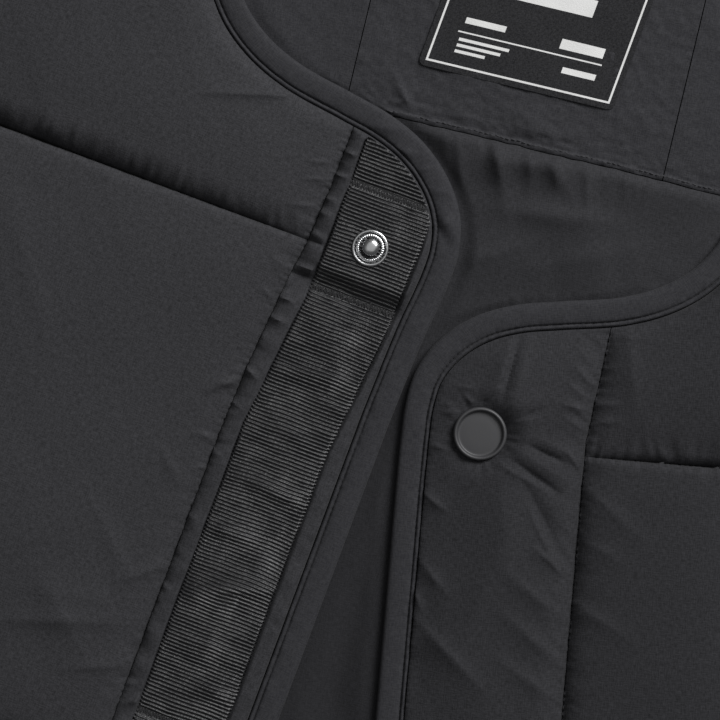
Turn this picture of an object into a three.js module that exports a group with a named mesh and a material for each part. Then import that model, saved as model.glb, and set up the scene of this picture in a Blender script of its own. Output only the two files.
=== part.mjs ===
// A quilted gilet with a round bound neck and a snap front, laid open on a flat surface with its
// back down. Millimetres, +Z up, +Y to the neck. The layout is drawn about the lower edge of the
// neck label, on the centre line of the back, and the whole is then moved so that the origin is
// the middle of the underside.
//
// Left and right are the wearer's: with the back down, the right front lies on the -X side.

import * as THREE from 'three';

// ---------------------------------------------------------------- driving sizes

const SEAM_GAP = 0.3; // every piece stands this far from its neighbour
const BACK_LOFT = 4.5; // shell, wadding and inner ply of the back, pressed flat
const LINING = 1.0;
const BINDING_WIDTH = 8.3;
const BINDING_RISE = 3.4;
const SEAM_THICK = 2.5; // a padded panel where it is stitched down
const FRONT_LOFT = 7.6; // a padded panel at the crown between quilt lines
const LOFT_REACH = 34; // distance from a seam over which the loft comes up
const SNAP_PITCH = 165;
const SNAP_COUNT = 4;
const QUILT_DROP = 4.2; // the quilt line runs this far below each snap
const TAPE_WIDTH = 25.5;
const TAPE_THICK = 0.9;
const ARM_INSET = BINDING_WIDTH + 0.45; // from an armhole's edge to the panel behind its binding

const LINING_Z = BACK_LOFT + SEAM_GAP;
const FRONT_Z = LINING_Z + LINING + SEAM_GAP; // the fronts rest on the lining
const EDGE_Z = BACK_LOFT + SEAM_GAP; // past the lining's edge they rest on the back
const EDGE_DROP = { from: 5, to: 14 }; // where the underside steps from one to the other
const LINING_INSET = 25;

const HALF_WIDTH = { underarm: 264, hem: 276, notch: 197 };
const BACK_TAIL = 25; // how far the back's hem dips below its corners

// Largest folds: each is a soft ridge from one end to the other, in the piece's own plane.
const LEFT_PLACKET_FOLDS = [
  { from: [-10, -6], to: [-27, -18], width: 4.5, rise: 2.2 },
  { from: [-4, -10], to: [-22, -30], width: 5, rise: 2.6 },
  { from: [-2, -22], to: [-24, -52], width: 6, rise: 1.8 },
  { from: [14, -14], to: [6, -22], width: 4, rise: 1.2 },
];
const LINING_FOLDS = [
  { from: [4, -25], to: [17, -36], width: 5, rise: 2.4 },
  { from: [26, -24], to: [33, -34], width: 4, rise: 1.4 },
  { from: [10, -43], to: [22, -44], width: 5, rise: 1.5 },
];
const YOKE_FOLDS = [{ from: [-40, -8], to: [-28, -17], width: 3.3, rise: 1.6 }];

// The two fronts share one pattern. u runs towards the front edge and v up it, both from the
// top snap; `snap` is where that snap lies and `splay` how far the front is swung open, in
// degrees. `seam` and `tape` give a line's u at falling heights v, and `quiltOuterY` where each
// quilt line ends on the armhole or the side.
const SIDES = {
  right: {
    sign: -1, snap: [-30.7, -60], splay: 7, bow: 2.4, shoulderNeck: [-97, 74], shoulderArm: [-212, 32],
    notchY: -60, underarmY: -196, hemSideY: -598, hemV: -555,
    seam: [[60, -16.8], [0, -16.8], [-30, -22.5], [-600, -22.5]],
    cornerRowY: -22, quiltOuterY: [-45, -216, -373, -540],
    tape: [[0, 0.85], [-20, 0.4], [-60, -3.75], [-600, -3.75]],
    placketColumns: [-14.2, -7.5, 0, 7.5, 14.2],
    placketLoft: { atSnap: 4.2, low: 3, high: 3.8 },
    placketFolds: [],
  },
  left: {
    sign: 1, snap: [12.9, -105], splay: 8.5, bow: 0, shoulderNeck: [92, 58], shoulderArm: [207, 16],
    notchY: -72, underarmY: -214, hemSideY: -640, hemV: -540,
    seam: [[60, -38.9], [0, -31], [-30, -31], [-600, -31]],
    cornerRowY: -58, quiltOuterY: [-82.5, -246, -415, -582],
    placketColumns: [-27, -22, -14, -9, 0, 9, 13],
    placketLoft: { atSnap: 3, low: 3.6, high: 5 },
    placketFolds: LEFT_PLACKET_FOLDS,
  },
};

// Neck scoop and rounded corner of the front edge, in the pattern's u and v.
const FRONT_EDGE = [
  { u: -69, v: 70 }, { u: -59.5, v: 54.8 }, { u: -50, v: 47.7 }, { u: -38, v: 43.2 },
  { u: -20, v: 40.4 }, { u: -8, v: 38.4 }, { u: 2, v: 35 }, { u: 10, v: 30 },
  { u: 16.4, v: 23.4 }, { u: 20.4, v: 16 }, { u: 22.3, v: 7 }, { u: 22.8, v: -2 },
  { u: 23, v: -20 }, { u: 23, v: -45 },
];
const EDGE_BOW = { at: 4, spread: 22 }; // where a front's edge bows out past the pattern
const STRAIGHT_FROM_V = -45; // below this the front edge is straight
const BACK_NECK = [[-76, 60.5], [-42, 52], [0, 50], [40, 50], [70, 51.5]];
const YOKE = { seamY: -21, half: 47.5 };
const LABEL = { from: -29.8, to: 28.7, low: -4.5, high: 36, lean: 0.12, corner: 2, thick: 0.5 };

// ---------------------------------------------------------------- materials

const cloth = (color, roughness) => new THREE.MeshStandardMaterial({ color, roughness, metalness: 0 });
const shell = cloth(0x35373b, 0.72);
const bindingCloth = cloth(0x303134, 0.68);
const liningCloth = cloth(0x2c2d30, 0.8);
const yokeCloth = cloth(0x37393c, 0.75);
const grosgrain = cloth(0x34363a, 0.85);
const labelWeave = cloth(0x1d1e20, 0.8);
const steel = new THREE.MeshStandardMaterial({ color: 0xc9cbcd, roughness: 0.22, metalness: 1 });
const blackCap = new THREE.MeshStandardMaterial({ color: 0x444547, roughness: 0.45, metalness: 0.3 });

const group = new THREE.Group();

function addPiece(name, geometry, material) {
  const mesh = new THREE.Mesh(geometry, material);
  mesh.name = name;
  group.add(mesh);
  return mesh;
}

// ---------------------------------------------------------------- small helpers

const lerp = THREE.MathUtils.lerp;
const clamp = THREE.MathUtils.clamp;
const rise = (t) => 1 - (1 - clamp(t, 0, 1)) ** 2.4; // quick at a seam, level further in

// Height read off a table of [position, value] rows whose positions fall.
function readTable(table, position) {
  const next = table.findIndex(([at]) => at <= position);
  if (next <= 0) return table[next === 0 ? 0 : table.length - 1][1];
  const [above, below] = [table[next - 1], table[next]];
  return lerp(below[1], above[1], (position - below[0]) / (above[0] - below[0]));
}

// Root of a function that changes sign once between low and high.
function solve(fn, low, high) {
  const startsPositive = fn(low) > 0;
  for (let step = 0; step < 40; step += 1) {
    const middle = (low + high) / 2;
    if (fn(middle) > 0 === startsPositive) low = middle;
    else high = middle;
  }
  return (low + high) / 2;
}

function foldLift(folds, a, b) {
  return folds.reduce((total, { from, to, width, rise: height }) => {
    const [du, dv] = [to[0] - from[0], to[1] - from[1]];
    const length = Math.hypot(du, dv);
    const along = ((a - from[0]) * du + (b - from[1]) * dv) / length;
    const across = ((a - from[0]) * dv - (b - from[1]) * du) / length;
    const past = Math.max(-along, along - length, 0);
    const off = (across ** 2 + past ** 2) / (2 * width) ** 2;
    return total + height * Math.max(1 - off, 0) ** 3;
  }, 0);
}

// A closed wall over a grid of plan points. Each point is {x, y, low, high}; rows and columns
// must not cross. The faces are turned to point outwards whichever way the grid runs.
function wall(rows) {
  const [rowCount, columnCount] = [rows.length, rows[0].length];
  const positions = [];
  for (const level of ['high', 'low']) {
    for (const row of rows) for (const p of row) positions.push(p.x, p.y, p[level]);
  }
  const at = (r, c, level) => (level * rowCount + r) * columnCount + c;
  const faces = [];
  const quad = (a, b, c, d) => faces.push(a, b, c, a, c, d);
  for (let r = 0; r < rowCount - 1; r += 1) {
    for (let c = 0; c < columnCount - 1; c += 1) {
      quad(at(r, c, 0), at(r + 1, c, 0), at(r + 1, c + 1, 0), at(r, c + 1, 0));
      quad(at(r, c, 1), at(r, c + 1, 1), at(r + 1, c + 1, 1), at(r + 1, c, 1));
    }
    quad(at(r, 0, 0), at(r, 0, 1), at(r + 1, 0, 1), at(r + 1, 0, 0));
    const end = columnCount - 1;
    quad(at(r, end, 0), at(r + 1, end, 0), at(r + 1, end, 1), at(r, end, 1));
  }
  for (let c = 0; c < columnCount - 1; c += 1) {
    quad(at(0, c, 0), at(0, c + 1, 0), at(0, c + 1, 1), at(0, c, 1));
    const end = rowCount - 1;
    quad(at(end, c, 0), at(end, c, 1), at(end, c + 1, 1), at(end, c + 1, 0));
  }
  let planArea = 0;
  for (let r = 0; r < rowCount - 1; r += 1) {
    for (let c = 0; c < columnCount - 1; c += 1) {
      const [p, q, s] = [rows[r][c], rows[r + 1][c], rows[r + 1][c + 1]];
      planArea += (q.x - p.x) * (s.y - p.y) - (q.y - p.y) * (s.x - p.x);
    }
  }
  return closedGeometry(positions, faces, planArea < 0);
}

function closedGeometry(positions, faces, insideOut) {
  if (insideOut) {
    for (let i = 0; i < faces.length; i += 3) faces.splice(i + 1, 2, faces[i + 2], faces[i + 1]);
  }
  const geometry = new THREE.BufferGeometry();
  geometry.setAttribute('position', new THREE.Float32BufferAttribute(positions, 3));
  geometry.setIndex(faces);
  geometry.computeVertexNormals();
  return geometry;
}

// A strip bound round an edge: one closed section of {inward, z} points at each station.
function strip(sections) {
  const count = sections[0].length;
  const positions = sections.flatMap((section) => section.flatMap((p) => [p.x, p.y, p.z]));
  const faces = [];
  for (let s = 0; s < sections.length - 1; s += 1) {
    for (let k = 0; k < count; k += 1) {
      const [a, b] = [s * count + k, s * count + ((k + 1) % count)];
      faces.push(a, b, b + count, a, b + count, a + count);
    }
  }
  const last = (sections.length - 1) * count;
  for (let k = 1; k < count - 1; k += 1) {
    faces.push(0, k + 1, k);
    faces.push(last, last + k, last + k + 1);
  }
  let volume = 0;
  for (let i = 0; i < faces.length; i += 3) {
    const [a, b, c] = [0, 1, 2].map((k) => new THREE.Vector3().fromArray(positions, faces[i + k] * 3));
    volume += a.dot(b.cross(c));
  }
  return closedGeometry(positions, faces, volume < 0);
}

// ---------------------------------------------------------------- the plan of one front

// Pattern point (u, v) to the layout plane.
function layOut(side, u, v) {
  const angle = THREE.MathUtils.degToRad(side.splay);
  const [cos, sin] = [Math.cos(angle), Math.sin(angle)];
  return {
    x: side.snap[0] - side.sign * (u * cos + v * sin),
    y: side.snap[1] - u * sin + v * cos,
  };
}

function toPattern(side, x, y) {
  const angle = THREE.MathUtils.degToRad(side.splay);
  const [cos, sin] = [Math.cos(angle), Math.sin(angle)];
  const [dx, dy] = [-side.sign * (x - side.snap[0]), y - side.snap[1]];
  return { u: dx * cos - dy * sin, v: dx * sin + dy * cos };
}

// The bound edge, from the shoulder round the neck and down the front, by length along it.
function frontEdge(side) {
  const start = toPattern(side, ...side.shoulderNeck);
  const bowed = FRONT_EDGE.map(({ u, v }) => (
    { u: u + side.bow * Math.exp(-(((v - EDGE_BOW.at) / EDGE_BOW.spread) ** 2)), v }));
  const points = [start, ...bowed].map(({ u, v }) => new THREE.Vector3(u, v, 0));
  const curve = new THREE.CatmullRomCurve3(points, false, 'centripetal');
  curve.arcLengthDivisions = 600;
  const bend = curve.getLength();
  const foot = points[points.length - 1];
  const total = bend + (foot.y - side.hemV);
  const point = (w) => (w <= bend ? curve.getPointAt(w / bend)
    : new THREE.Vector3(foot.x, foot.y - (w - bend), 0));
  const inset = (w, depth) => {
    const slope = w < bend ? curve.getTangentAt(w / bend) : new THREE.Vector3(0, -1, 0);
    const p = point(w);
    return { u: p.x + slope.y * depth, v: p.y - slope.x * depth };
  };
  return { bend, total, inset, atV: (v) => bend + foot.y - v };
}

// Half width of the garment at height y: the armhole's notch above the underarm, then the side.
// `depth` draws the same line that far inside the armhole's edge.
function outerX(side, y, depth = 0) {
  const { underarm, hem, notch } = HALF_WIDTH;
  const [armX, armY] = [Math.abs(side.shoulderArm[0]), side.shoulderArm[1]];
  const rim = underarm - notch + depth;
  const drop = side.notchY - side.underarmY + depth;
  if (y >= side.notchY) {
    return notch - depth + (armX - notch) * ((y - side.notchY) / (armY - side.notchY)) ** 2;
  }
  if (y > side.notchY - drop) {
    return underarm - rim * Math.sqrt(1 - ((side.notchY - y) / drop) ** 2);
  }
  return lerp(underarm, hem, (side.underarmY - y) / (side.underarmY - side.hemSideY));
}

// Half width of a panel, which stops short of the armhole's binding.
const panelX = (side, y) => outerX(side, y, y > side.underarmY - ARM_INSET ? ARM_INSET : 0);

// Distance from the seamed outline, where the front and the back meet: shoulder and side.
function outlineDistance(side, x, y) {
  const [neckX, neckY] = side.shoulderNeck;
  const [armX, armY] = side.shoulderArm;
  const length = Math.hypot(armX - neckX, armY - neckY);
  const cross = (armX - neckX) * (y - neckY) - (armY - neckY) * (x - neckX);
  const belowShoulder = (side.sign * -cross) / length;
  return Math.min(Math.abs(belowShoulder), outerX(side, y) - Math.abs(x));
}

// The underside of a front: on the lining, and down on the back near the outline and the hem.
function seatZ(distance) {
  const step = (distance - EDGE_DROP.from) / (EDGE_DROP.to - EDGE_DROP.from);
  return lerp(EDGE_Z, FRONT_Z, clamp(step, 0, 1));
}

const frontLow = (side, x, y, toHem) => seatZ(Math.min(outlineDistance(side, x, y), toHem));

// ---------------------------------------------------------------- fronts

const BINDING_SECTION = [ // around the folded strip, inward from the bound edge and up
  { inward: 0.9, z: 0 }, { inward: BINDING_WIDTH, z: 0 }, { inward: BINDING_WIDTH, z: 2.1 },
  { inward: 6.4, z: BINDING_RISE }, { inward: 1.8, z: BINDING_RISE }, { inward: 0, z: 1.7 },
];

// Heights v of the placket's rows: closely set where the edge bends and at each snap.
function placketRows(side) {
  const rows = [9, 0, -9, -14, -20, -26, -30, -38, STRAIGHT_FROM_V, -58, -72, -88, -108, -130];
  for (let snap = 1; snap < SNAP_COUNT; snap += 1) {
    const v = -snap * SNAP_PITCH;
    rows.push(v + 14, v + 9, v - 9, v - 14);
    if (snap < SNAP_COUNT - 1) rows.push(v - 45, v - 82, v - 120);
  }
  return [...rows, side.hemV + 14, side.hemV + 5, side.hemV].sort((a, b) => b - a);
}

const snapDistance = (v) => Math.abs(v + SNAP_PITCH * clamp(Math.round(-v / SNAP_PITCH), 0, SNAP_COUNT - 1));

// Height of a placket above its underside, along v: one height at the snaps, one between them.
function placketLoft(v, hemV, { atSnap, low, high }) {
  const toSnap = snapDistance(v);
  if (toSnap <= 9 || v > 0) return atSnap;
  if (toSnap <= 14) return lerp(atSnap, low, (toSnap - 9) / 5);
  if (v - hemV < 14.5) return low;
  return lerp(low, high, rise((toSnap - 14) / 60));
}

function buildFront(sideName) {
  const side = SIDES[sideName];
  const edge = frontEdge(side);
  const seamU = (v) => readTable(side.seam, v);
  const gapDepth = BINDING_WIDTH + SEAM_GAP;
  const insetW = (w) => edge.inset(w, gapDepth);
  const hemV = side.hemV;
  const rowsV = placketRows(side);

  // Where the seam of the placket meets the neck, and where the edge starts to run straight.
  const neckW = solve((w) => insetW(w).u - seamU(insetW(w).v), edge.bend * 0.2, edge.bend * 0.62);
  const cornerW = solve((w) => insetW(w).v - rowsV[0], neckW, edge.bend - 20);
  const edgeAtV = (v) => (v > STRAIGHT_FROM_V
    ? solve((w) => insetW(w).v - v, neckW, edge.bend) : edge.atV(v));

  // Placket: columns from the seam to the front edge.
  const tapeCentre = (v) => (side.tape ? readTable(side.tape, v) : 0);
  const offsets = side.placketColumns;
  const columnsU = (v) => {
    const edgePoint = insetW(edgeAtV(v));
    return [seamU(v) + SEAM_GAP / 2, ...offsets.map((o) => o + tapeCentre(v)), edgePoint.u];
  };
  const columnCount = offsets.length + 2;
  const topW = Array.from({ length: columnCount },
    (_, c) => lerp(neckW + SEAM_GAP, cornerW, c / (columnCount - 1)));
  const firstRow = columnsU(rowsV[0]);
  const planRows = [0, 0.4, 0.75].map((t) => topW.map((w, c) => {
    const top = insetW(w);
    return { u: lerp(top.u, firstRow[c], t), v: lerp(top.v, rowsV[0], t) };
  }));
  rowsV.forEach((v) => planRows.push(columnsU(v).map((u) => ({ u, v }))));

  const loft = side.placketLoft;
  const placket = planRows.map((row) => row.map(({ u, v }, c) => {
    const { x, y } = layOut(side, u, v);
    const low = frontLow(side, x, y, v - hemV);
    const atBorder = c === 0 || c === columnCount - 1;
    const dimple = Math.abs(u - tapeCentre(v)) <= 9.1 && snapDistance(v) <= 9.1 ? 1.5 : 0;
    const seamed = v - hemV < 4 ? SEAM_THICK : placketLoft(v, hemV, loft);
    const fold = dimple || atBorder ? 0 : foldLift(side.placketFolds, u, v);
    return { x, y, low: low + dimple, high: low + (atBorder ? SEAM_THICK : seamed + fold) };
  }));
  addPiece(`${sideName}_placket`, wall(placket), shell);

  // Main panel: rows from the shoulder down, columns from the neck or the placket seam outwards.
  const [armX, armY] = side.shoulderArm;
  const outer = (y) => ({ x: side.sign * panelX(side, y), y });
  const stations = [];
  const shoulderSlope = (armY - side.shoulderNeck[1]) / Math.abs(armX - side.shoulderNeck[0]);
  const armTopY = armY - shoulderSlope * ARM_INSET;
  for (const t of [0, 0.04, 0.11, 0.24, 0.4, 0.56, 0.7, 0.82, 0.92, 1]) {
    const w = t * neckW;
    const { u, v } = insetW(w);
    const inner = layOut(side, u - (t === 1 ? SEAM_GAP / 2 : 0), v);
    stations.push({ w, inner, outerY: lerp(armTopY, side.cornerRowY, t), toQuilt: Infinity });
  }
  const cornerV = insetW(neckW).v;
  const addSeamRow = (v, outerY, toQuilt) => {
    const inner = layOut(side, seamU(v) - SEAM_GAP / 2, v);
    stations.push({ inner, outerY, toQuilt, v });
  };
  const firstQuiltV = -QUILT_DROP;
  for (const [v, t] of [[24, 0.2], [12, 0.55], [0, 0.9]]) {
    if (v < cornerV - 3) addSeamRow(v, lerp(side.cornerRowY, side.quiltOuterY[0], t), v - firstQuiltV);
  }
  const bandRows = [0, 3, 11, 38, 66, 111, 137, 154, 162];
  for (let band = 0; band < SNAP_COUNT; band += 1) {
    const topV = firstQuiltV - band * SNAP_PITCH;
    const isLast = band === SNAP_COUNT - 1;
    const bottomV = isLast ? hemV : topV - SNAP_PITCH;
    const bottomY = isLast ? side.hemSideY : side.quiltOuterY[band + 1];
    const depth = topV - bottomV;
    const rows = isLast ? [0, 3, 10, 20, depth - 14, depth - 5, depth] : bandRows;
    for (const d of rows) {
      const toQuilt = isLast ? Math.min(d, depth - d) : Math.min(d, SNAP_PITCH - d);
      addSeamRow(topV - d, lerp(side.quiltOuterY[band], bottomY, d / depth), toQuilt);
      if (band === 0 && d === 11) addSeamRow(-30, lerp(side.quiltOuterY[0], bottomY, 25.8 / depth), 25.8);
    }
  }
  stations.sort((a, b) => (b.outerY - a.outerY));

  const panel = stations.map((station) => {
    const from = station.inner;
    const to = outer(station.outerY);
    const width = Math.hypot(to.x - from.x, to.y - from.y);
    const [near, far] = [Math.min(24, width * 0.2), Math.min(50, width * 0.35)];
    const reach = [0, 3, 10, near, far, width / 2, width - far, width - near, width - 14, width - 5, width];
    return reach.map((d) => {
      const t = d / width;
      const { x, y } = { x: lerp(from.x, to.x, t), y: lerp(from.y, to.y, t) };
      const low = frontLow(side, x, y, station.v === undefined ? Infinity : (station.v - hemV));
      const toEdge = Math.min(d, width - d, station.toQuilt, outlineDistance(side, x, y));
      const toNeck = station.v === undefined ? Math.hypot(x - from.x, y - from.y) + 2 : Infinity;
      const puff = rise(Math.min(toEdge, toNeck) / LOFT_REACH);
      return { x, y, low, high: low + lerp(SEAM_THICK, FRONT_LOFT, puff) };
    });
  });
  addPiece(`${sideName}_front_panel`, wall(panel), shell);

  // Binding of the neck and the front edge, at the same stations as the panels it borders.
  const neckStations = stations.filter((s) => s.w !== undefined).map((s) => s.w);
  const edgeStations = [...neckStations, ...topW.slice(1), ...rowsV.slice(1).map(edgeAtV)];
  const binding = edgeStations.map((w) => BINDING_SECTION.map(({ inward, z }) => {
    const { u, v } = edge.inset(w, inward);
    const { x, y } = layOut(side, u, v);
    return { x, y, z: seatZ(v - hemV) + z };
  }));
  addPiece(`${sideName}_front_binding`, strip(binding), bindingCloth);
  return { side, edge, insetW, neckW, cornerW, rowsV, tapeCentre, loft, stations };
}

const FRONTS = { right: buildFront('right'), left: buildFront('left') };

// ---------------------------------------------------------------- snap tape

{
  const { side, edge, insetW, neckW, cornerW, rowsV, tapeCentre, loft } = FRONTS.right;
  const offsets = [-TAPE_WIDTH / 2, 0, TAPE_WIDTH / 2];
  const columns = (v) => offsets.map((o) => ({ u: tapeCentre(v) + o, v }));
  const first = columns(rowsV[0]);
  const top = first.map(({ u }) => {
    const w = solve((at) => insetW(at).u - u, neckW, cornerW);
    return edge.inset(w, BINDING_WIDTH + 2 * SEAM_GAP);
  });
  const blend = [0, 0.5].map((t) => top.map((p, c) => (
    { u: lerp(p.u, first[c].u, t), v: lerp(p.v, first[c].v, t) })));
  const foot = side.hemV + 2;
  const plan = [...blend, ...rowsV.filter((v) => v > foot).map(columns), columns(foot)];
  const rows = plan.map((row) => row.map(({ u, v }) => {
    const { x, y } = layOut(side, u, v);
    const low = frontLow(side, x, y, v - side.hemV) + placketLoft(v, side.hemV, loft) + SEAM_GAP;
    return { x, y, low, high: low + TAPE_THICK };
  }));
  addPiece('snap_tape', wall(rows), grosgrain);
}

// ---------------------------------------------------------------- snaps

const CAP_PROFILE = [
  [0, 0], [6.9, 0], [7.75, 0.7], [7.8, 2.4], [7.3, 3.1], [6.6, 3.1], [6.05, 2.5], [0, 2.5],
];
const STUD_PROFILE = [
  [0, 0], [5.3, 0], [5.3, 0.6], [4.9, 1], [4.4, 0.5], [3.9, 0.9], [2.9, 0.9], [1.5, 0.5],
  [1.5, 1.9], [2.1, 2.7], [1.7, 3.7], [0, 4.1],
];
const RING_PROFILE = [[2, 0], [6, 0], [6, 1.2], [2, 1.2], [2, 0]];

function turned(profile, segments) {
  const points = profile.map(([radius, z]) => new THREE.Vector2(radius, z));
  return new THREE.LatheGeometry(points, segments).rotateX(Math.PI / 2);
}

function placeSnap(name, geometry, material, side, u, v, z) {
  const { x, y } = layOut(side, u, v);
  addPiece(name, geometry, material).position.set(x, y, z);
}

for (let snap = 0; snap < SNAP_COUNT; snap += 1) {
  const v = -snap * SNAP_PITCH;
  const [right, left] = [FRONTS.right, FRONTS.left];
  const studU = right.tapeCentre(v) - right.tapeCentre(0);
  const studZ = FRONT_Z + right.loft.atSnap + TAPE_THICK + 2 * SEAM_GAP;
  const capZ = FRONT_Z + left.loft.atSnap + SEAM_GAP;
  placeSnap(`stud_${snap + 1}`, turned(STUD_PROFILE, 14), steel, right.side, studU, v, studZ);
  placeSnap(`stud_back_${snap + 1}`, turned(RING_PROFILE, 12), steel, right.side, studU, v, FRONT_Z);
  placeSnap(`cap_${snap + 1}`, turned(CAP_PROFILE, 18), blackCap, left.side, 0, v, capZ);
  placeSnap(`socket_${snap + 1}`, turned(RING_PROFILE, 12), steel, left.side, 0, v, FRONT_Z);
}

// ---------------------------------------------------------------- back

const neckPoints = [SIDES.right.shoulderNeck, ...BACK_NECK, SIDES.left.shoulderNeck];
const backNeck = new THREE.CatmullRomCurve3(
  neckPoints.map(([x, y]) => new THREE.Vector3(x, y, 0)), false, 'centripetal');
backNeck.arcLengthDivisions = 600;

function backNeckInset(t, depth) {
  const p = backNeck.getPointAt(t);
  const slope = backNeck.getTangentAt(t);
  return { x: p.x + slope.y * depth, y: p.y - slope.x * depth };
}

const hemLine = (x) => lerp(
  SIDES.right.hemSideY, SIDES.left.hemSideY, (x + HALF_WIDTH.hem) / (2 * HALF_WIDTH.hem));
const backHem = (x) => hemLine(x) - BACK_TAIL * (1 - (x / HALF_WIDTH.hem) ** 2);

// Heights of the back's rows down its armholes, past both underarms.
const ARM_ROWS = [8, -20, -60, -72, -105, -140, -170, -190, -204.6, -214, -222.6];

// A point of the shoulder line, t = 0 at the neck and 1 at the arm, drawn in at both ends.
function shoulderPoint(side, t) {
  const [neckX, neckY] = side.shoulderNeck;
  const [armX, armY] = side.shoulderArm;
  const ends = ARM_INSET / Math.abs(armX - neckX);
  const along = lerp(ends, 1 - ends, t);
  return { x: lerp(neckX, armX, along), y: lerp(neckY, armY, along) };
}

{
  const neckT = [0.04, 0.12, 0.18, 0.24, 0.37, 0.5, 0.63, 0.76, 0.82, 0.88, 0.96];
  const top = [
    ...[1, 0.95, 0.5, 0.05].map((t) => shoulderPoint(SIDES.right, t)),
    ...neckT.map((t) => backNeckInset(t, ARM_INSET)),
    ...[0.05, 0.5, 0.95, 1].map((t) => shoulderPoint(SIDES.left, t)),
  ];
  const [first, last] = [top[0], top[top.length - 1]];
  const share = top.map(({ x }) => (x - first.x) / (last.x - first.x));
  const bodyRows = [-240, -300, -380, -460, -540];
  const level = (y) => {
    const [from, to] = [-panelX(SIDES.right, y), panelX(SIDES.left, y)];
    return share.map((s) => ({ x: lerp(from, to, s), y }));
  };
  const hemRow = (up) => {
    const from = -outerX(SIDES.right, SIDES.right.hemSideY + up);
    const to = outerX(SIDES.left, SIDES.left.hemSideY + up);
    return share.map((s) => ({ x: lerp(from, to, s), y: backHem(lerp(from, to, s)) + up }));
  };
  const under = level(ARM_ROWS[0]);
  const blend = [0, 0.15, 0.6].map((t) => top.map((p, c) => (
    { x: lerp(p.x, under[c].x, t), y: lerp(p.y, under[c].y, t) })));
  const plan = [...blend, ...[...ARM_ROWS, ...bodyRows].map(level), hemRow(5), hemRow(0)];
  const rows = plan.map((row, r) => row.map(({ x, y }, c) => {
    const atRim = r === 0 || r === plan.length - 1 || c === 0 || c === row.length - 1;
    return { x, y, low: atRim ? 1.2 : 0, high: BACK_LOFT };
  }));
  addPiece('back_panel', wall(rows), shell);
}

// Lining: from the yoke seam to short of the hem, drawn in from the armholes and sides.
{
  const liningX = (side, y) => Math.min(
    outerX(side, y, LINING_INSET), outerX(side, Math.min(y, side.underarmY)) - LINING_INSET);
  const seamY = YOKE.seamY - SEAM_GAP / 2;
  const middle = [-60, -45, -32, -20, -12, -4, 4, 12, 20, 32, 45, 60];
  const levels = [-27, -34, -42, -51, -62, -78, -100, -130, -165, -190, -214, -232, -300, -400, -500];
  const row = (yAt) => {
    const xs = [-1, 1].map((s) => s * liningX(s < 0 ? SIDES.right : SIDES.left, yAt(s * 200)));
    const left = [1, 0.5].map((t) => lerp(middle[0], xs[0], t));
    const right = [0.5, 1].map((t) => lerp(middle[middle.length - 1], xs[1], t));
    return [...left, ...middle, ...right].map((x) => ({ x, y: yAt(x) }));
  };
  const foot = row((x) => hemLine(x) + 20);
  const plan = [row(() => seamY), ...levels.map((y) => row(() => y)), foot];
  const rows = plan.map((line) => line.map(({ x, y }) => {
    const low = LINING_Z + foldLift(LINING_FOLDS, x, y) * clamp((seamY - y) / 4, 0, 1);
    return { x, y, low, high: low + LINING };
  }));
  addPiece('back_lining', wall(rows), liningCloth);
}

// Yoke: a centre piece under the label and one piece out to each shoulder.
{
  const lowY = YOKE.seamY + SEAM_GAP / 2;
  const neckY = (x) => {
    const t = solve((at) => backNeckInset(at, ARM_INSET).x - x, 0.02, 0.98);
    return backNeckInset(t, ARM_INSET).y - SEAM_GAP / 2;
  };
  const yokeWall = (xs, topAt, steps) => wall(steps.map((t) => xs.map((x) => {
    const y = lerp(lowY, topAt(x), t);
    const low = LINING_Z + foldLift(YOKE_FOLDS, x, y) * clamp((y - lowY) / 3, 0, 1);
    return { x, y, low, high: low + LINING };
  })));
  const half = YOKE.half - SEAM_GAP / 2;
  const centreX = Array.from({ length: 13 }, (_, k) => lerp(-half, half, k / 12));
  addPiece('yoke_centre', yokeWall(centreX, neckY, [0, 0.08, 0.18, 0.25, 0.45, 0.7, 1]), yokeCloth);
  for (const [name, side] of Object.entries(SIDES)) {
    const [[neckX, neckTopY], [armX, armY]] = [side.shoulderNeck, side.shoulderArm];
    const byNeck = Math.abs(neckX) - 12;
    const byArm = Math.abs(armX) - LINING_INSET - 10;
    const xs = [half + SEAM_GAP, 54, 62, 73, byNeck, byNeck + 14, 135, byArm].map((x) => side.sign * x);
    const slope = (armY - neckTopY) / (armX - neckX);
    const shoulderY = (x) => neckTopY + slope * (x - neckX) - LINING_INSET - 2;
    const topAt = (x) => (Math.abs(x) < byNeck + 2 ? Math.min(neckY(x), shoulderY(x)) : shoulderY(x));
    addPiece(`yoke_${name}`, yokeWall(xs, topAt, [0, 0.3, 0.6, 1]), yokeCloth);
  }
}

// Label: a woven rectangle stitched flat on the yoke.
{
  const { from, to, low, high, lean, corner, thick } = LABEL;
  const outline = new THREE.Shape();
  outline.absarc(to - corner, low + corner, corner, -Math.PI / 2, 0);
  outline.absarc(to - corner, high - corner, corner, 0, Math.PI / 2);
  outline.absarc(from + corner, high - corner, corner, Math.PI / 2, Math.PI);
  outline.absarc(from + corner, low + corner, corner, Math.PI, Math.PI * 1.5);
  outline.closePath();
  const woven = new THREE.ExtrudeGeometry(outline, { depth: thick, bevelEnabled: false, curveSegments: 3 });
  const pulled = new THREE.Matrix4().makeShear(0, 0, lean, 0, 0, 0).setPosition(-lean * low, 0, 0);
  addPiece('neck_label', woven.applyMatrix4(pulled), labelWeave).position.z = FRONT_Z;
}

// ---------------------------------------------------------------- bindings of the back and armholes

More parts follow.
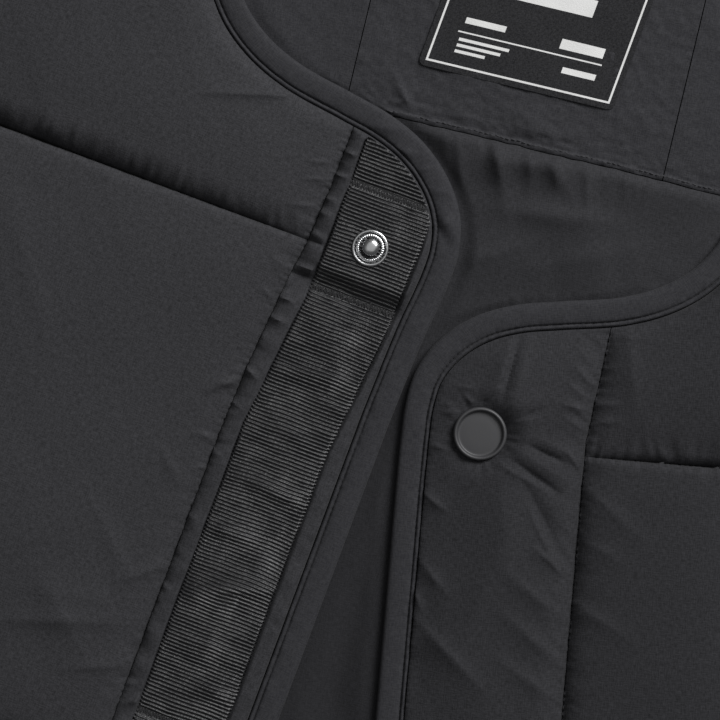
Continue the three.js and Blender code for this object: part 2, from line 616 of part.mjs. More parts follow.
{
  const stations = [0, 0.04, 0.12, 0.18, 0.24, 0.37, 0.5, 0.63, 0.76, 0.82, 0.88, 0.96, 1];
  const section = [
    { inward: 0.9, z: 0 }, { inward: BINDING_WIDTH, z: 0 }, { inward: BINDING_WIDTH, z: FRONT_Z - 1.2 },
    { inward: 6.4, z: FRONT_Z - SEAM_GAP }, { inward: 1.8, z: FRONT_Z - SEAM_GAP }, { inward: 0, z: 2.8 },
  ];
  const rows = stations.map((t) => section.map(({ inward, z }) => ({ ...backNeckInset(t, inward), z })));
  addPiece('back_neck_binding', strip(rows), bindingCloth);
}

// The armhole's line `depth` inside its edge, at the height y of the panel's own rim.
function armholePoint(side, y, depth) {
  const { underarm, notch } = HALF_WIDTH;
  const out = ARM_INSET - depth;
  if (y >= side.notchY) {
    const up = (y - side.notchY) / (side.shoulderArm[1] - side.notchY);
    const [neckX, neckY] = side.shoulderNeck;
    const slope = (neckY - side.shoulderArm[1]) / Math.abs(side.shoulderArm[0] - neckX);
    return { x: side.sign * (outerX(side, y) - depth), y: y - slope * out * up * up };
  }
  const drop = side.notchY - side.underarmY;
  const angle = Math.asin(Math.min((side.notchY - y) / (drop + ARM_INSET), 1));
  return {
    x: side.sign * (underarm - (underarm - notch + depth) * Math.cos(angle)),
    y: side.notchY - (drop + depth) * Math.sin(angle),
  };
}

for (const [name, side] of Object.entries(SIDES)) {
  const footY = side.underarmY - ARM_INSET;
  const frontY = FRONTS[name].stations.map((station) => station.outerY).filter((y) => y > footY + 0.5);
  const backY = [shoulderPoint(side, 1).y, ...ARM_ROWS].filter((y) => y > footY + 0.5);
  const layers = [
    { layer: 'front', heights: [...frontY, footY], low: EDGE_Z, tall: BINDING_RISE },
    { layer: 'back', heights: [...backY, footY], low: 0, tall: BACK_LOFT },
  ];
  for (const { layer, heights, low, tall } of layers) {
    const section = [
      { inward: 0.9, z: 0 }, { inward: BINDING_WIDTH, z: 0 }, { inward: BINDING_WIDTH, z: tall - 1 },
      { inward: 6, z: tall }, { inward: 1.6, z: tall }, { inward: 0, z: tall / 2 },
    ];
    const rows = heights.map((y) => section.map(({ inward, z }) => (
      { ...armholePoint(side, y, inward), z: low + z })));
    addPiece(`${name}_armhole_${layer}_binding`, strip(rows), bindingCloth);
  }
}

// ---------------------------------------------------------------- origin

// The middle of the underside.
const box = new THREE.Box3().setFromObject(group);
group.position.set(-(box.min.x + box.max.x) / 2, -(box.min.y + box.max.y) / 2, -box.min.z);
group.updateMatrixWorld(true);

export default group;
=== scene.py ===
# %% [markdown]
# # A quilted gilet, laid open on its back
#
# The garment lies flat with its two fronts swung open, so the neck, the lining, the snap tape and
# the left placket with its caps all show. The camera looks straight down near the top snaps.
# Every panel is worked out as a height over a plan: the plan is the garment's paper pattern, and
# the height is what sewing does to the cloth (it dips at stitches and puckers beside them).
# Bindings are sections carried along an edge, snaps are spun profiles, stitches small capsules.

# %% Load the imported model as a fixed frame
import math

import bpy
import numpy as np
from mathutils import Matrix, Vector


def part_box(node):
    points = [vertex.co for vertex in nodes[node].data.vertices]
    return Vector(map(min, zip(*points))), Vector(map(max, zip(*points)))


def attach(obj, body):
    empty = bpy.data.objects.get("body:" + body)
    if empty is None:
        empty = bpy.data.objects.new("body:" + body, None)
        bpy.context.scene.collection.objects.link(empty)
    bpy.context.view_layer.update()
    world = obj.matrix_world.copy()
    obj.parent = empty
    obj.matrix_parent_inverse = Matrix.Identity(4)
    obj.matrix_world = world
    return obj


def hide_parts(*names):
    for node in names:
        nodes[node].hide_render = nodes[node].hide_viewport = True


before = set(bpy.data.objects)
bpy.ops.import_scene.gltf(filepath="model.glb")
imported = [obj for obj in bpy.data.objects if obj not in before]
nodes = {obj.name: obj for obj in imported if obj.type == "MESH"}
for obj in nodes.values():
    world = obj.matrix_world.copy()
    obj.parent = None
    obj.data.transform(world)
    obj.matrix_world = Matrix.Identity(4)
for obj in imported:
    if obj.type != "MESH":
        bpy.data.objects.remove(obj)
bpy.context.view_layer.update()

# %% [markdown]
# ## Sizes
#
# All sizes are millimetres in the layout's own plane, which is drawn about the foot of the neck
# label. The frame says where the top stud is, and that fixes the shift from the layout to the
# part's own frame.

# %% Driving sizes
# A gap is left between neighbouring pieces, and a loft is the height of a padded piece. In the
# layout y falls towards the hem, and so does v in the pattern.
SEAM_GAP = 0.3
STITCHED_GAP = 0.12
BACK_LOFT = 4.5
LINING = 1.0
BINDING_WIDTH = 8.3
SNAP_PITCH = 165
SNAP_COUNT = 4
QUILT_DROP = 4.2
TAPE_WIDTH = 25.5
TAPE_THICK = 0.9
ARM_INSET = BINDING_WIDTH + 0.45
LINING_Z = BACK_LOFT + SEAM_GAP
FRONT_Z = LINING_Z + LINING + SEAM_GAP
EDGE_Z = BACK_LOFT + SEAM_GAP
EDGE_DROP = (5, 14)
LINING_INSET = 25
HALF_UNDERARM, HALF_HEM, HALF_NOTCH = 264, 276, 197
BACK_TAIL = 25
YOKE_SEAM_Y, YOKE_HALF = -21, 47.5
STRAIGHT_FROM_V = -45
LEVEL_V = 9
FINE_TO_V = -150
LINING_ABOVE_HEM = 20

# For each front: its top snap and the degrees that it swings open, the ends of its shoulder seam,
# the heights where the armhole and the side turn, the placket seam as (v, u), where the quilted
# lines end at the side, the tape's middle as (v, u), and the placket's loft.
SIDES = {
    "right": dict(
        name="right", sign=-1, snap=(-30.7, -60), splay=7, bow=2.4,
        shoulder_neck=(-97, 74), shoulder_arm=(-212, 32),
        notch_y=-60, underarm_y=-196, hem_side_y=-598, hem_v=-555,
        seam=((60, -16.8), (12, -17.0), (-4, -17.8), (-16, -19.3), (-30, -20.5), (-45, -21.6),
              (-62, -22.3), (-600, -22.5)),
        corner_row_y=-22, quilt_outer_y=(-45, -216, -373, -540),
        tape=((0, 0.85), (-20, 0.4), (-60, -3.75), (-600, -3.75)),
        loft=dict(at_snap=4.2, low=3.0, high=3.8),
    ),
    "left": dict(
        name="left", sign=1, snap=(12.9, -105), splay=8.5, bow=0,
        shoulder_neck=(92, 58), shoulder_arm=(207, 16),
        notch_y=-72, underarm_y=-214, hem_side_y=-640, hem_v=-540,
        seam=((60, -38.9), (0, -31), (-30, -31), (-600, -31)),
        corner_row_y=-58, quilt_outer_y=(-82.5, -246, -415, -582),
        tape=((60, 0), (-600, 0)),
        loft=dict(at_snap=3.0, low=3.6, high=5.0),
    ),
}

FRONT_EDGE = (
    (-69, 70), (-59.5, 54.8), (-50, 47.7), (-38, 43.2), (-20, 40.4), (-8, 38.4), (2, 35),
    (10, 30), (16.4, 23.4), (20.4, 16), (22.3, 7), (22.8, -2), (23, -20), (23, -45),
)
BACK_NECK = ((-76, 60.5), (-42, 52), (0, 50), (40, 50), (70, 51.5))

low_corner, high_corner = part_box("stud_1")
STUD_AT = np.array((low_corner + high_corner) / 2)[:2] * 1000
SHIFT = STUD_AT - np.array(SIDES["right"]["snap"])
print("layout to part frame, mm:", SHIFT.round(3))


def to_frame(points):
    """Layout millimetres to metres in the part's frame: add the shift, divide by 1000."""
    moved = np.array(points, float)
    moved[..., 0] += SHIFT[0]
    moved[..., 1] += SHIFT[1]
    return moved / 1000


# %% [markdown]
# ## Camera, floor and light
#
# A close-up of cloth is taken from straight above with a long lens, so that nothing bends. The
# frame is turned a little against the garment's centre line. The key light is a large soft
# window at the top right of the picture, low enough to let each pucker throw a shadow. A large
# card overhead and a weak window at the lower left keep the shadows open. Where they stand and
# how strong they are was fitted.

# %% Camera
PICTURE_TURN = math.radians(13.5)
VIEW_CENTRE = np.array((-26.0, -92.3))
VIEW_WIDTH = 209.3
CAMERA_HEIGHT = 1500
CLOTH_HEIGHT = 10
RIGHTWARD = np.array((math.cos(PICTURE_TURN), math.sin(PICTURE_TURN)))
UPWARD = np.array((-math.sin(PICTURE_TURN), math.cos(PICTURE_TURN)))

camera_data = bpy.data.cameras.new("close_up_camera")
camera = bpy.data.objects.new("close_up_camera", camera_data)
bpy.context.scene.collection.objects.link(camera)
camera.location = to_frame((*VIEW_CENTRE, CLOTH_HEIGHT + CAMERA_HEIGHT))
camera.rotation_euler = (0, 0, PICTURE_TURN)
camera_data.sensor_width = 36
camera_data.lens = camera_data.sensor_width * CAMERA_HEIGHT / VIEW_WIDTH
camera_data.clip_end = 20
bpy.context.scene.camera = camera
print("lens", round(camera_data.lens, 1), "mm")


# %% Soft studio light
def soft_window(name, right, up, height, size, power):
    """A square area light at picture offsets (right, up) and height in metres, aimed at the view."""
    data = bpy.data.lights.new(name, "AREA")
    data.size = size
    data.energy = power
    lamp = bpy.data.objects.new(name, data)
    bpy.context.scene.collection.objects.link(lamp)
    spot = to_frame((*VIEW_CENTRE, CLOTH_HEIGHT))
    side = RIGHTWARD * right + UPWARD * up
    lamp.location = Vector(spot) + Vector((side[0], side[1], height))
    aim = Vector(spot) - lamp.location
    lamp.rotation_euler = aim.to_track_quat("-Z", "Y").to_euler()
    return lamp


soft_window("key_window", 1.3, 1.35, 1.35, 1.2, 67)
soft_window("ceiling_card", 0.0, 0.0, 2.2, 2.6, 7.5)
soft_window("fill_window", -1.0, -0.4, 1.3, 1.2, 0.6)
world = bpy.data.worlds.new("studio")
world.use_nodes = True
world.node_tree.nodes["Background"].inputs["Color"].default_value = (1, 1, 1, 1)
world.node_tree.nodes["Background"].inputs["Strength"].default_value = 0.075
bpy.context.scene.world = world
bpy.context.scene.view_settings.view_transform = "Standard"

# %% [markdown]
# ## The plan of the pattern
#
# Each front has its pattern: u runs towards the front edge and v up it, both from its top snap.
# The bound edge is one smooth curve through marks that both share, but for the right one's bow.
# Their seams, shoulders and hems differ, so the two fronts don't match exactly.


# %% Pattern and layout
def lay_out(side, u, v):
    """Pattern (u, v) to layout (x, y): turn by the splay, mirror for the side, move to the snap."""
    angle = math.radians(side["splay"])
    cos, sin = math.cos(angle), math.sin(angle)
    x = side["snap"][0] - side["sign"] * (u * cos + v * sin)
    y = side["snap"][1] - u * sin + v * cos
    return x, y


def to_pattern(side, x, y):
    """Layout (x, y) back to pattern (u, v): the same steps undone."""
    angle = math.radians(side["splay"])
    cos, sin = math.cos(angle), math.sin(angle)
    dx, dy = -side["sign"] * (x - side["snap"][0]), y - side["snap"][1]
    return dx * cos - dy * sin, dx * sin + dy * cos


def read_table(table, at):
    """Value at a place from (place, value) rows whose places fall, in straight lines between."""
    rows = np.array(table, float)[::-1]
    return np.interp(at, rows[:, 0], rows[:, 1])


def smooth_line(points, steps=40):
    """Centripetal Catmull-Rom curve: between two marks it is a cubic whose slopes come from the
    marks on either side, each weighted by the square root of its distance."""
    p = np.array(points, float)
    p = np.vstack([2 * p[0] - p[1], p, 2 * p[-1] - p[-2]])
    root = np.sqrt(np.hypot(*np.diff(p, axis=0).T))[:, None, None]
    before, here, there, after = (p[k:len(p) - 3 + k][:, None] for k in range(4))
    r0, r1, r2 = root[:-2], root[1:-1], root[2:]
    leave = ((here - before) / r0 - (there - before) / (r0 + r1) + (there - here) / r1) * r1
    reach = ((there - here) / r1 - (after - here) / (r1 + r2) + (after - there) / r2) * r1
    t = np.linspace(0, 1, steps, endpoint=False)[None, :, None]
    line = (
        (2 * t**3 - 3 * t**2 + 1) * here + (t**3 - 2 * t**2 + t) * leave
        + (3 * t**2 - 2 * t**3) * there + (t**3 - t**2) * reach
    )
    return np.vstack([line.reshape(-1, 2), p[-2]])


def measured(points):
    """A dense line as its points, its running length w and its unit direction at each point."""
    w = np.concatenate([[0], np.cumsum(np.hypot(*np.diff(points, axis=0).T))])
    direction = np.gradient(points, w, axis=0)
    direction /= np.linalg.norm(direction, axis=1)[:, None]
    return dict(p=points, w=w, t=direction, total=w[-1])


def inset(line, w, depth):
    """The line's point at running length w, moved `depth` to the right of its direction."""
    px, py, tx, ty = (
        np.interp(w, line["w"], column) for column in (*line["p"].T, *line["t"].T)
    )
    return px + ty * depth, py - tx * depth


def between(start, stop, share):
    """Rows of points: each runs straight from `start` to `stop`, at the shares of the way."""
    return start[:, None] + (stop - start)[:, None] * share


def crossing(at, value):
    """Where sampled values first pass zero, by a straight line between two samples."""
    k = int(np.argmax(np.diff(np.sign(value)) != 0))
    return at[k] - value[k] * (at[k + 1] - at[k]) / (value[k + 1] - value[k])


def spaced(*stretches):
    """Positions along (from, to, step) stretches that follow on, with each joint counted once."""
    parts = []
    for start, stop, step in stretches:
        count = max(int(round(abs(stop - start) / step)), 1)
        parts.append(np.linspace(start, stop, count, endpoint=False))
    return np.concatenate([*parts, [stretches[-1][1]]])


# %% The bound edge, and where the placket seam meets it
def front_edge(side):
    """From the shoulder round the neck and down the front: a curve, then straight to the hem.
    The bow moves the marks near v = 4 outwards and fades over 22 mm."""
    start = to_pattern(side, *side["shoulder_neck"])
    marks = np.array([start, *FRONT_EDGE], float)
    marks[1:, 0] += side["bow"] * np.exp(-(((marks[1:, 1] - 4) / 22) ** 2))
    curve = smooth_line(marks)
    straight = np.linspace(STRAIGHT_FROM_V, side["hem_v"], 120)[1:]
    foot = np.column_stack([np.full(len(straight), curve[-1, 0]), straight])
    return measured(np.vstack([curve, foot]))


GAP_DEPTH = BINDING_WIDTH + STITCHED_GAP
# The seam meets the edge in the neck's curve. From LEVEL_V down, the placket's rows are level.
for side in SIDES.values():
    edge = side["edge"] = front_edge(side)
    near = np.linspace(20, 260, 2000)
    near_u, near_v = inset(edge, near, GAP_DEPTH)
    bend = np.interp(-STRAIGHT_FROM_V, -edge["p"][:, 1], edge["w"])
    usable = (near > bend * 0.2) & (near < bend * 0.62)
    off_seam = near_u - read_table(side["seam"], near_v)
    side["neck_w"] = crossing(near[usable], off_seam[usable])
    below = (near > side["neck_w"]) & (near < bend)
    side["corner_w"] = crossing(near[below], near_v[below] - LEVEL_V)
    side["corner_v"] = float(inset(edge, side["neck_w"], GAP_DEPTH)[1])
    print(side["name"], "edge", round(edge["total"]), "mm, placket corner at v",
          round(side["corner_v"], 1))


def edge_u(side, v, depth=0.0):
    """How far u the front reaches at height v, `depth` inside its bound edge."""
    u, at_v = inset(side["edge"], side["edge"]["w"], depth)
    rising = np.minimum.accumulate(at_v)
    return np.interp(-v, -rising, u)


# %% The outer outline: armhole, side and shoulder
def outer_x(side, y, depth=0.0):
    """Half width at height y: a shallow curve above the armhole's notch, a quarter ellipse under
    it, then the side seam. `depth` draws the same line inside the armhole's edge."""
    arm_x, arm_y = abs(side["shoulder_arm"][0]), side["shoulder_arm"][1]
    rim = HALF_UNDERARM - HALF_NOTCH + depth
    drop = side["notch_y"] - side["underarm_y"] + depth
    upper = (y - side["notch_y"]) / (arm_y - side["notch_y"])
    above = HALF_NOTCH - depth + (arm_x - HALF_NOTCH) * upper**2
    lower = np.clip((side["notch_y"] - y) / drop, 0, 1)
    scoop = HALF_UNDERARM - rim * np.sqrt(1 - lower**2)
    down = (side["underarm_y"] - y) / (side["underarm_y"] - side["hem_side_y"])
    flank = HALF_UNDERARM + (HALF_HEM - HALF_UNDERARM) * down
    return np.where(y >= side["notch_y"], above, np.where(lower < 1, scoop, flank))


def panel_x(side, y):
    """The same, drawn in behind the armhole's binding."""
    behind = y > side["underarm_y"] - ARM_INSET
    return np.where(behind, outer_x(side, y, ARM_INSET), outer_x(side, y))


def shoulder_slope(side):
    """Fall of the shoulder seam from neck to arm, as its rise over its run: below nought."""
    (neck_x, neck_y), (arm_x, arm_y) = side["shoulder_neck"], side["shoulder_arm"]
    return (arm_y - neck_y) / abs(arm_x - neck_x)


def outline_distance(side, x, y):
    """Distance to the shoulder seam or the side seam, whichever is nearer."""
    (neck_x, neck_y), (arm_x, arm_y) = side["shoulder_neck"], side["shoulder_arm"]
    length = math.hypot(arm_x - neck_x, arm_y - neck_y)
    cross = (arm_x - neck_x) * (y - neck_y) - (arm_y - neck_y) * (x - neck_x)
    return np.minimum(np.abs(cross) / length, outer_x(side, y) - np.abs(x))


def seat_z(distance):
    """A front rests on the lining, and steps down to the back near the outline."""
    step = (distance - EDGE_DROP[0]) / (EDGE_DROP[1] - EDGE_DROP[0])
    return EDGE_Z + (FRONT_Z - EDGE_Z) * np.clip(step, 0, 1)


def front_low(side, x, y, to_hem):
    """Height of a front's underside, from its distance to the shoulder, the side or the hem."""
    return seat_z(np.minimum(outline_distance(side, x, y), to_hem))


def hem_line(x):
    """Height of the fronts' hem at x: a straight line from one side seam to the other."""
    share = (x + HALF_HEM) / (2 * HALF_HEM)
    low, high = SIDES["right"]["hem_side_y"], SIDES["left"]["hem_side_y"]
    return low + (high - low) * share


def back_hem(x):
    """The back's hem hangs BACK_TAIL lower in the middle, in a parabola."""
    return hem_line(x) - BACK_TAIL * (1 - (x / HALF_HEM) ** 2)


# %% [markdown]
# ## What sewing does to cloth
#
# A few small functions give every panel its life: a smooth unevenness from seeded random numbers,
# the rise of wadding from a stitched line, and puckers that stand off it. Larger folds are laid
# one by one, each from one end to the other with its own width and height.


# %% Unevenness, loft, puckers and folds
def eased(t):
    """From 0 to 1 with no corner at either end: 3t²-2t³."""
    return t * t * (3 - 2 * t)


def ramp(value, start, length):
    """0 up to `start`, 1 from `start` + `length` on, and a straight line between."""
    return np.clip((value - start) / length, 0, 1)


def bell(distance, reach):
    """1 at nought and falling off on either side: e^(-(d/reach)²)."""
    return np.exp(-((distance / reach) ** 2))


def uneven(x, y, size_x, size_y, seed):
    """Smooth noise from -1 to 1: random numbers on a grid of size_x by size_y mm, eased between
    neighbours by 3t²-2t³."""
    table = np.random.default_rng(seed).uniform(-1, 1, (64, 64))
    gx, gy = x / size_x + 31.7, y / size_y + 17.3
    ix, iy = np.floor(gx).astype(int), np.floor(gy).astype(int)
    fx, fy = gx - ix, gy - iy
    fx, fy = eased(fx), eased(fy)
    ix, iy, jx, jy = ix % 64, iy % 64, (ix + 1) % 64, (iy + 1) % 64
    low = table[ix, iy] * (1 - fx) + table[jx, iy] * fx
    high = table[ix, jy] * (1 - fx) + table[jx, jy] * fx
    return low * (1 - fy) + high * fy


def waver(along, size, seed):
    """The same noise along a line."""
    return uneven(along, 0 * along, size, 1, seed)


def lofted(distance, shoulder=2.6, reach=30, quick=0.5, ease=2.2):
    """Share of the wadding's loft at a distance from stitches: a round shoulder by the thread,
    1-e^(-d/shoulder), and a slow climb to the crown, 1-(1-d/reach)^ease."""
    fast = 1 - np.exp(-np.maximum(distance, 0) / shoulder)
    slow = 1 - (1 - np.clip(distance / reach, 0, 1)) ** ease
    return quick * fast + (1 - quick) * slow


def rolled(distance, radius, quick=0.75):
    """The loft where a full panel rolls down into a stitched line: a quarter circle of `radius`,
    sqrt(1-(1-d/radius)^2), and then the slow climb to the crown."""
    inner = np.clip(distance / radius, 0, 1)
    slow = 1 - (1 - np.clip(distance / 34, 0, 1)) ** 2.2
    return quick * np.sqrt(1 - (1 - inner) ** 2) + (1 - quick) * slow


def between_stitches(along, seed, pitch=2.0):
    """0 at each needle hole and 1 between: |sin(pi s/pitch)|^0.6, its spacing drifting a little."""
    drift = 0.5 * waver(along, 6, seed)
    return np.abs(np.sin(np.pi * (along / pitch + drift))) ** 0.6


def stitch_beads(along, away, seed, pitch=2.0, reach=1.7, height=1.1):
    """Cloth is pinned at each needle hole and swells between, close to the line only."""
    bead = between_stitches(along, seed, pitch)
    uneven_bead = 0.7 + 0.3 * waver(along, 3.3, seed + 1)
    return height * bead * uneven_bead * bell(away, reach)


def puckers(along, away, seed, pitch=3.4, reach=6.0, height=0.55, slant=0.0):
    """Short ridges off a stitched line: noise that is narrow along the seam and long away from
    it, leaning one way and the other about `slant`, dying out over `reach`, with calm
    stretches between."""
    lean = slant + waver(along, 14, seed + 1) * 0.5
    ridge = uneven(along + lean * away, away, pitch, 7, seed)
    busy = 0.6 + 0.4 * waver(along, 22, seed + 2)
    return height * busy * ridge * np.exp(-((away / reach) ** 1.3))


def laid_folds(table, x, y):
    """Sum of listed folds (from x, y, to x, y, width, rise). Across its line a fold is a crest
    that nylon holds almost sharp, e^(-|d|/width) with a small round top, steeper on its left. It
    fades in and out along the line."""
    total = np.zeros(np.broadcast(x, y).shape)
    for x0, y0, x1, y1, width, rise in table:
        length = math.hypot(x1 - x0, y1 - y0)
        ax, ay = (x1 - x0) / length, (y1 - y0) / length
        along = (x - x0) * ax + (y - y0) * ay
        across = (x - x0) * ay - (y - y0) * ax
        wide = np.where(across > 0, width * 1.3, width * 0.8)
        past = np.maximum(np.maximum(-along, along - length), 0)
        share = np.clip(along / length, 0, 1)
        taper = 0.5 + 0.5 * np.sin(np.pi * share)
        crest = np.exp(-np.sqrt((1.25 * across / wide) ** 2 + 0.25**2))
        total += rise * taper * crest * bell(past, width * 1.6)
    return total


def folds_further_down(table, side, seed, broader=1.0):
    """Each snap and each quilted line further down pulls the cloth in its own way. The rows of the
    table are moved down the pattern, a snap's pitch at a time. Three in ten are left out there,
    and each of the others gets its own place, width and rise."""
    rows = list(table)
    rng = np.random.default_rng(seed)
    for number in range(1, SNAP_COUNT):
        for x0, y0, x1, y1, width, rise in table:
            left_out, wider, higher = rng.random(), rng.uniform(0.9, 1.5), rng.uniform(0.7, 1.15)
            shift = rng.uniform(-2.5, 2.5, 4)
            if left_out < 0.3:
                continue
            u0, v0 = to_pattern(side, x0, y0)
            u1, v1 = to_pattern(side, x1, y1)
            start = lay_out(side, u0 + shift[0], v0 - SNAP_PITCH * number + shift[1])
            end = lay_out(side, u1 + shift[2], v1 - SNAP_PITCH * number + shift[3])
            rows.append((*start, *end, width * wider * broader, rise * higher * broader**0.5))
    return rows


def line_distance(points, x, y):
    """Distance from each (x, y) to a polyline: the least over its straight stretches."""
    best = np.full(np.broadcast(x, y).shape, 1e9)
    for (x0, y0), (x1, y1) in zip(points[:-1], points[1:]):
        dx, dy = x1 - x0, y1 - y0
        t = np.clip(((x - x0) * dx + (y - y0) * dy) / (dx * dx + dy * dy), 0, 1)
        best = np.minimum(best, np.hypot(x - x0 - t * dx, y - y0 - t * dy))
    return best


# %% [markdown]
# ## Making meshes
#
# A panel could be a plane with modifiers, but then its rim and underside would be left to chance.
# Here a grid of points is closed by hand: the top keeps every point, the underside keeps every
# row but few columns (nobody sees it, and it stays light), and a wall joins them all round. A
# piece whose underside sags keeps more columns, or the underside would cut across the sag.


# %% Closed skins
def new_piece(name, points, faces, uv=None, crease=50):
    """A mesh object from points in layout mm, faces of any size, and a UV map in metres."""
    mesh = bpy.data.meshes.new(name)
    mesh.from_pydata(to_frame(points).tolist(), [], faces)
    if uv is not None:
        corner = np.empty(len(mesh.loops), np.int32)
        mesh.loops.foreach_get("vertex_index", corner)
        layer = mesh.uv_layers.new(name="cloth_metres")
        layer.data.foreach_set("uv", (np.asarray(uv, float)[corner] / 1000).ravel())
    mesh.polygons.foreach_set("use_smooth", np.ones(len(mesh.polygons), bool))
    mesh.set_sharp_from_angle(angle=math.radians(crease))
    piece = bpy.data.objects.new(name, mesh)
    bpy.context.scene.collection.objects.link(piece)
    if enclosed(mesh) < 0:
        mesh.flip_normals()
    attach(piece, "root")
    return piece


def enclosed(mesh):
    """Volume inside a closed mesh: a sixth of the sum of each triangle's corners' box product."""
    mesh.calc_loop_triangles()
    points = np.empty(len(mesh.vertices) * 3, np.float32)
    mesh.vertices.foreach_get("co", points)
    points = points.reshape(-1, 3).astype(float)
    corner = np.empty(len(mesh.loop_triangles) * 3, np.int32)
    mesh.loop_triangles.foreach_get("vertices", corner)
    a, b, c = (points[corner.reshape(-1, 3)[:, k]] for k in range(3))
    return float(np.einsum("ij,ij->i", a, np.cross(b, c)).sum() / 6)


def closed_skin(name, x, y, high, low, uv, keep=8, crease=50):
    """Closes a grid: x, y, high, low are (rows, columns) arrays and uv is (rows, columns, 2). The
    underside has `keep` of the columns, and `crease` degrees is the angle that looks sharp."""
    rows, columns = x.shape
    kept = np.unique(np.linspace(0, columns - 1, keep).round().astype(int))
    top = np.arange(rows * columns).reshape(rows, columns)
    used = np.zeros((rows, columns), bool)
    used[[0, -1]] = True
    used[:, kept] = True
    under = np.full((rows, columns), -1)
    under[used] = rows * columns + np.arange(used.sum())
    points = np.concatenate([
        np.stack([x, y, high], -1).reshape(-1, 3), np.stack([x, y, low], -1)[used]])
    flat_uv = np.concatenate([uv.reshape(-1, 2), uv[used]])
    quads = [
        np.stack([top[:-1, :-1], top[:-1, 1:], top[1:, 1:], top[1:, :-1]], -1).reshape(-1, 4),
        np.stack([under[:-1, 0], top[:-1, 0], top[1:, 0], under[1:, 0]], -1),
        np.stack([top[:-1, -1], under[:-1, -1], under[1:, -1], top[1:, -1]], -1),
        np.stack([under[0, :-1], under[0, 1:], top[0, 1:], top[0, :-1]], -1),
        np.stack([top[-1, :-1], top[-1, 1:], under[-1, 1:], under[-1, :-1]], -1),
    ]
    base = under[:, kept]
    middle = base[1:-1]
    quads.append(np.stack([
        middle[1:, :-1], middle[1:, 1:], middle[:-1, 1:], middle[:-1, :-1]], -1).reshape(-1, 4))
    faces = np.concatenate(quads).tolist()
    for a, b in zip(kept[:-1], kept[1:]):
        faces.append([under[1, a], under[1, b], *under[0, a:b + 1][::-1]])
        faces.append([*under[-1, a:b + 1], under[-2, b], under[-2, a]])
    return new_piece(name, points, faces, flat_uv, crease)


def closed_strip(name, sections, uv, crease=60):
    """Carries a closed section along a path: sections is (stations, points, 3)."""
    stations, count = sections.shape[:2]
    index = np.arange(stations * count).reshape(stations, count)
    turn = np.roll(index, -1, axis=1)
    faces = np.stack([index[:-1], turn[:-1], turn[1:], index[1:]], -1).reshape(-1, 4).tolist()
    faces.append(index[0][::-1].tolist())
    faces.append(index[-1].tolist())
    return new_piece(name, sections.reshape(-1, 3), faces, uv.reshape(-1, 2), crease)


def ring_faces(rings, segments):
    """Quads between rings of points, and the triangles to the two end points that follow them."""
    index = np.arange(rings * segments).reshape(rings, segments)
    turn = np.roll(index, -1, axis=1)
    quads = np.stack([index[:-1], turn[:-1], turn[1:], index[1:]], -1).reshape(-1, 4)
    end = np.full(segments, rings * segments)
    first = np.stack([end, turn[0], index[0]], -1)
    last = np.stack([end + 1, index[-1], turn[-1]], -1)
    return quads, np.concatenate([first, last])


def turned(name, profile, segments, centre, shape=None):
    """Spins a profile of (radius, z) about +Z. It starts and ends on the axis. `shape` may move
    the points: it takes them all as (count, 3) and gives them back."""
    rings = np.array(profile, float)[1:-1]
    angle = np.linspace(0, 2 * np.pi, segments, endpoint=False)
    radius, z = np.broadcast_arrays(rings[:, :1], rings[:, 1:])
    x, y = radius * np.cos(angle), radius * np.sin(angle)
    z = np.broadcast_to(z, x.shape)
    ends = [(0, 0, profile[0][1]), (0, 0, profile[-1][1])]
    points = np.concatenate([np.stack([x, y, z], -1).reshape(-1, 3), ends])
    if shape is not None:
        points = shape(points)
    quads, tips = ring_faces(len(rings), segments)
    faces = quads.tolist() + tips.tolist()
    return new_piece(name, points + np.array(centre), faces, points[:, :2])


# %% Many small stitches in one mesh
def stitches(name, at, along, length=2.2, radius=0.24, up=(0, 0, 1)):
    """Each stitch is a small capsule: six-sided rings along `along`, closed by a point."""
    at, along = np.asarray(at, float), np.asarray(along, float)
    along = along / np.linalg.norm(along, axis=1)[:, None]
    across = np.cross(along, np.asarray(up, float))
    across /= np.linalg.norm(across, axis=1)[:, None]
    rise = np.cross(across, along)
    turn = np.linspace(0, 2 * np.pi, 6, endpoint=False)[None, :]
    rings = np.array([(-0.42, 0.75), (0, 1.0), (0.42, 0.75)])
    forward, out = rings[:, :1] * length, rings[:, 1:] * radius
    body = np.stack(np.broadcast_arrays(forward, out * np.cos(turn), out * np.sin(turn)), -1)
    ends = [(-0.5 * length, 0, 0), (0.5 * length, 0, 0)]
    local = np.concatenate([body.reshape(-1, 3), ends])
    points = at[:, None] + local @ np.stack([along, across, rise], 1)
    shift = len(local) * np.arange(len(at))[:, None, None]
    quads, tips = ring_faces(len(rings), turn.size)
    faces = (quads + shift).reshape(-1, 4).tolist() + (tips + shift).reshape(-1, 3).tolist()
    return new_piece(name, points.reshape(-1, 3), faces)


# %% [markdown]
# ## Materials
#
# Colours are sRGB hex values, turned to linear once. Each cloth reads its own UV map in metres,
# so that its threads follow the grain of the piece.


# %% Colour and nodes
def linear(hex_colour):
    """sRGB hex to linear RGBA: (c+0.055)/1.055 to the power 2.4, or c/12.92 when dark."""
    srgb = np.array([int(hex_colour[k:k + 2], 16) for k in (1, 3, 5)]) / 255
    value = np.where(srgb > 0.04045, ((srgb + 0.055) / 1.055) ** 2.4, srgb / 12.92)
    return (*value.tolist(), 1.0)


def add_node(tree, kind, feeds=None, values=None, **settings):
    """Adds one shader node of a kind: settings are its own properties, values its sockets,
    feeds its links."""
    node = tree.nodes.new("ShaderNode" + kind)
    for name, value in settings.items():
        setattr(node, name, value)
    for socket, value in (values or {}).items():
        node.inputs[socket].default_value = value
    for socket, source in (feeds or {}).items():
        tree.links.new(source, node.inputs[socket])
    return node


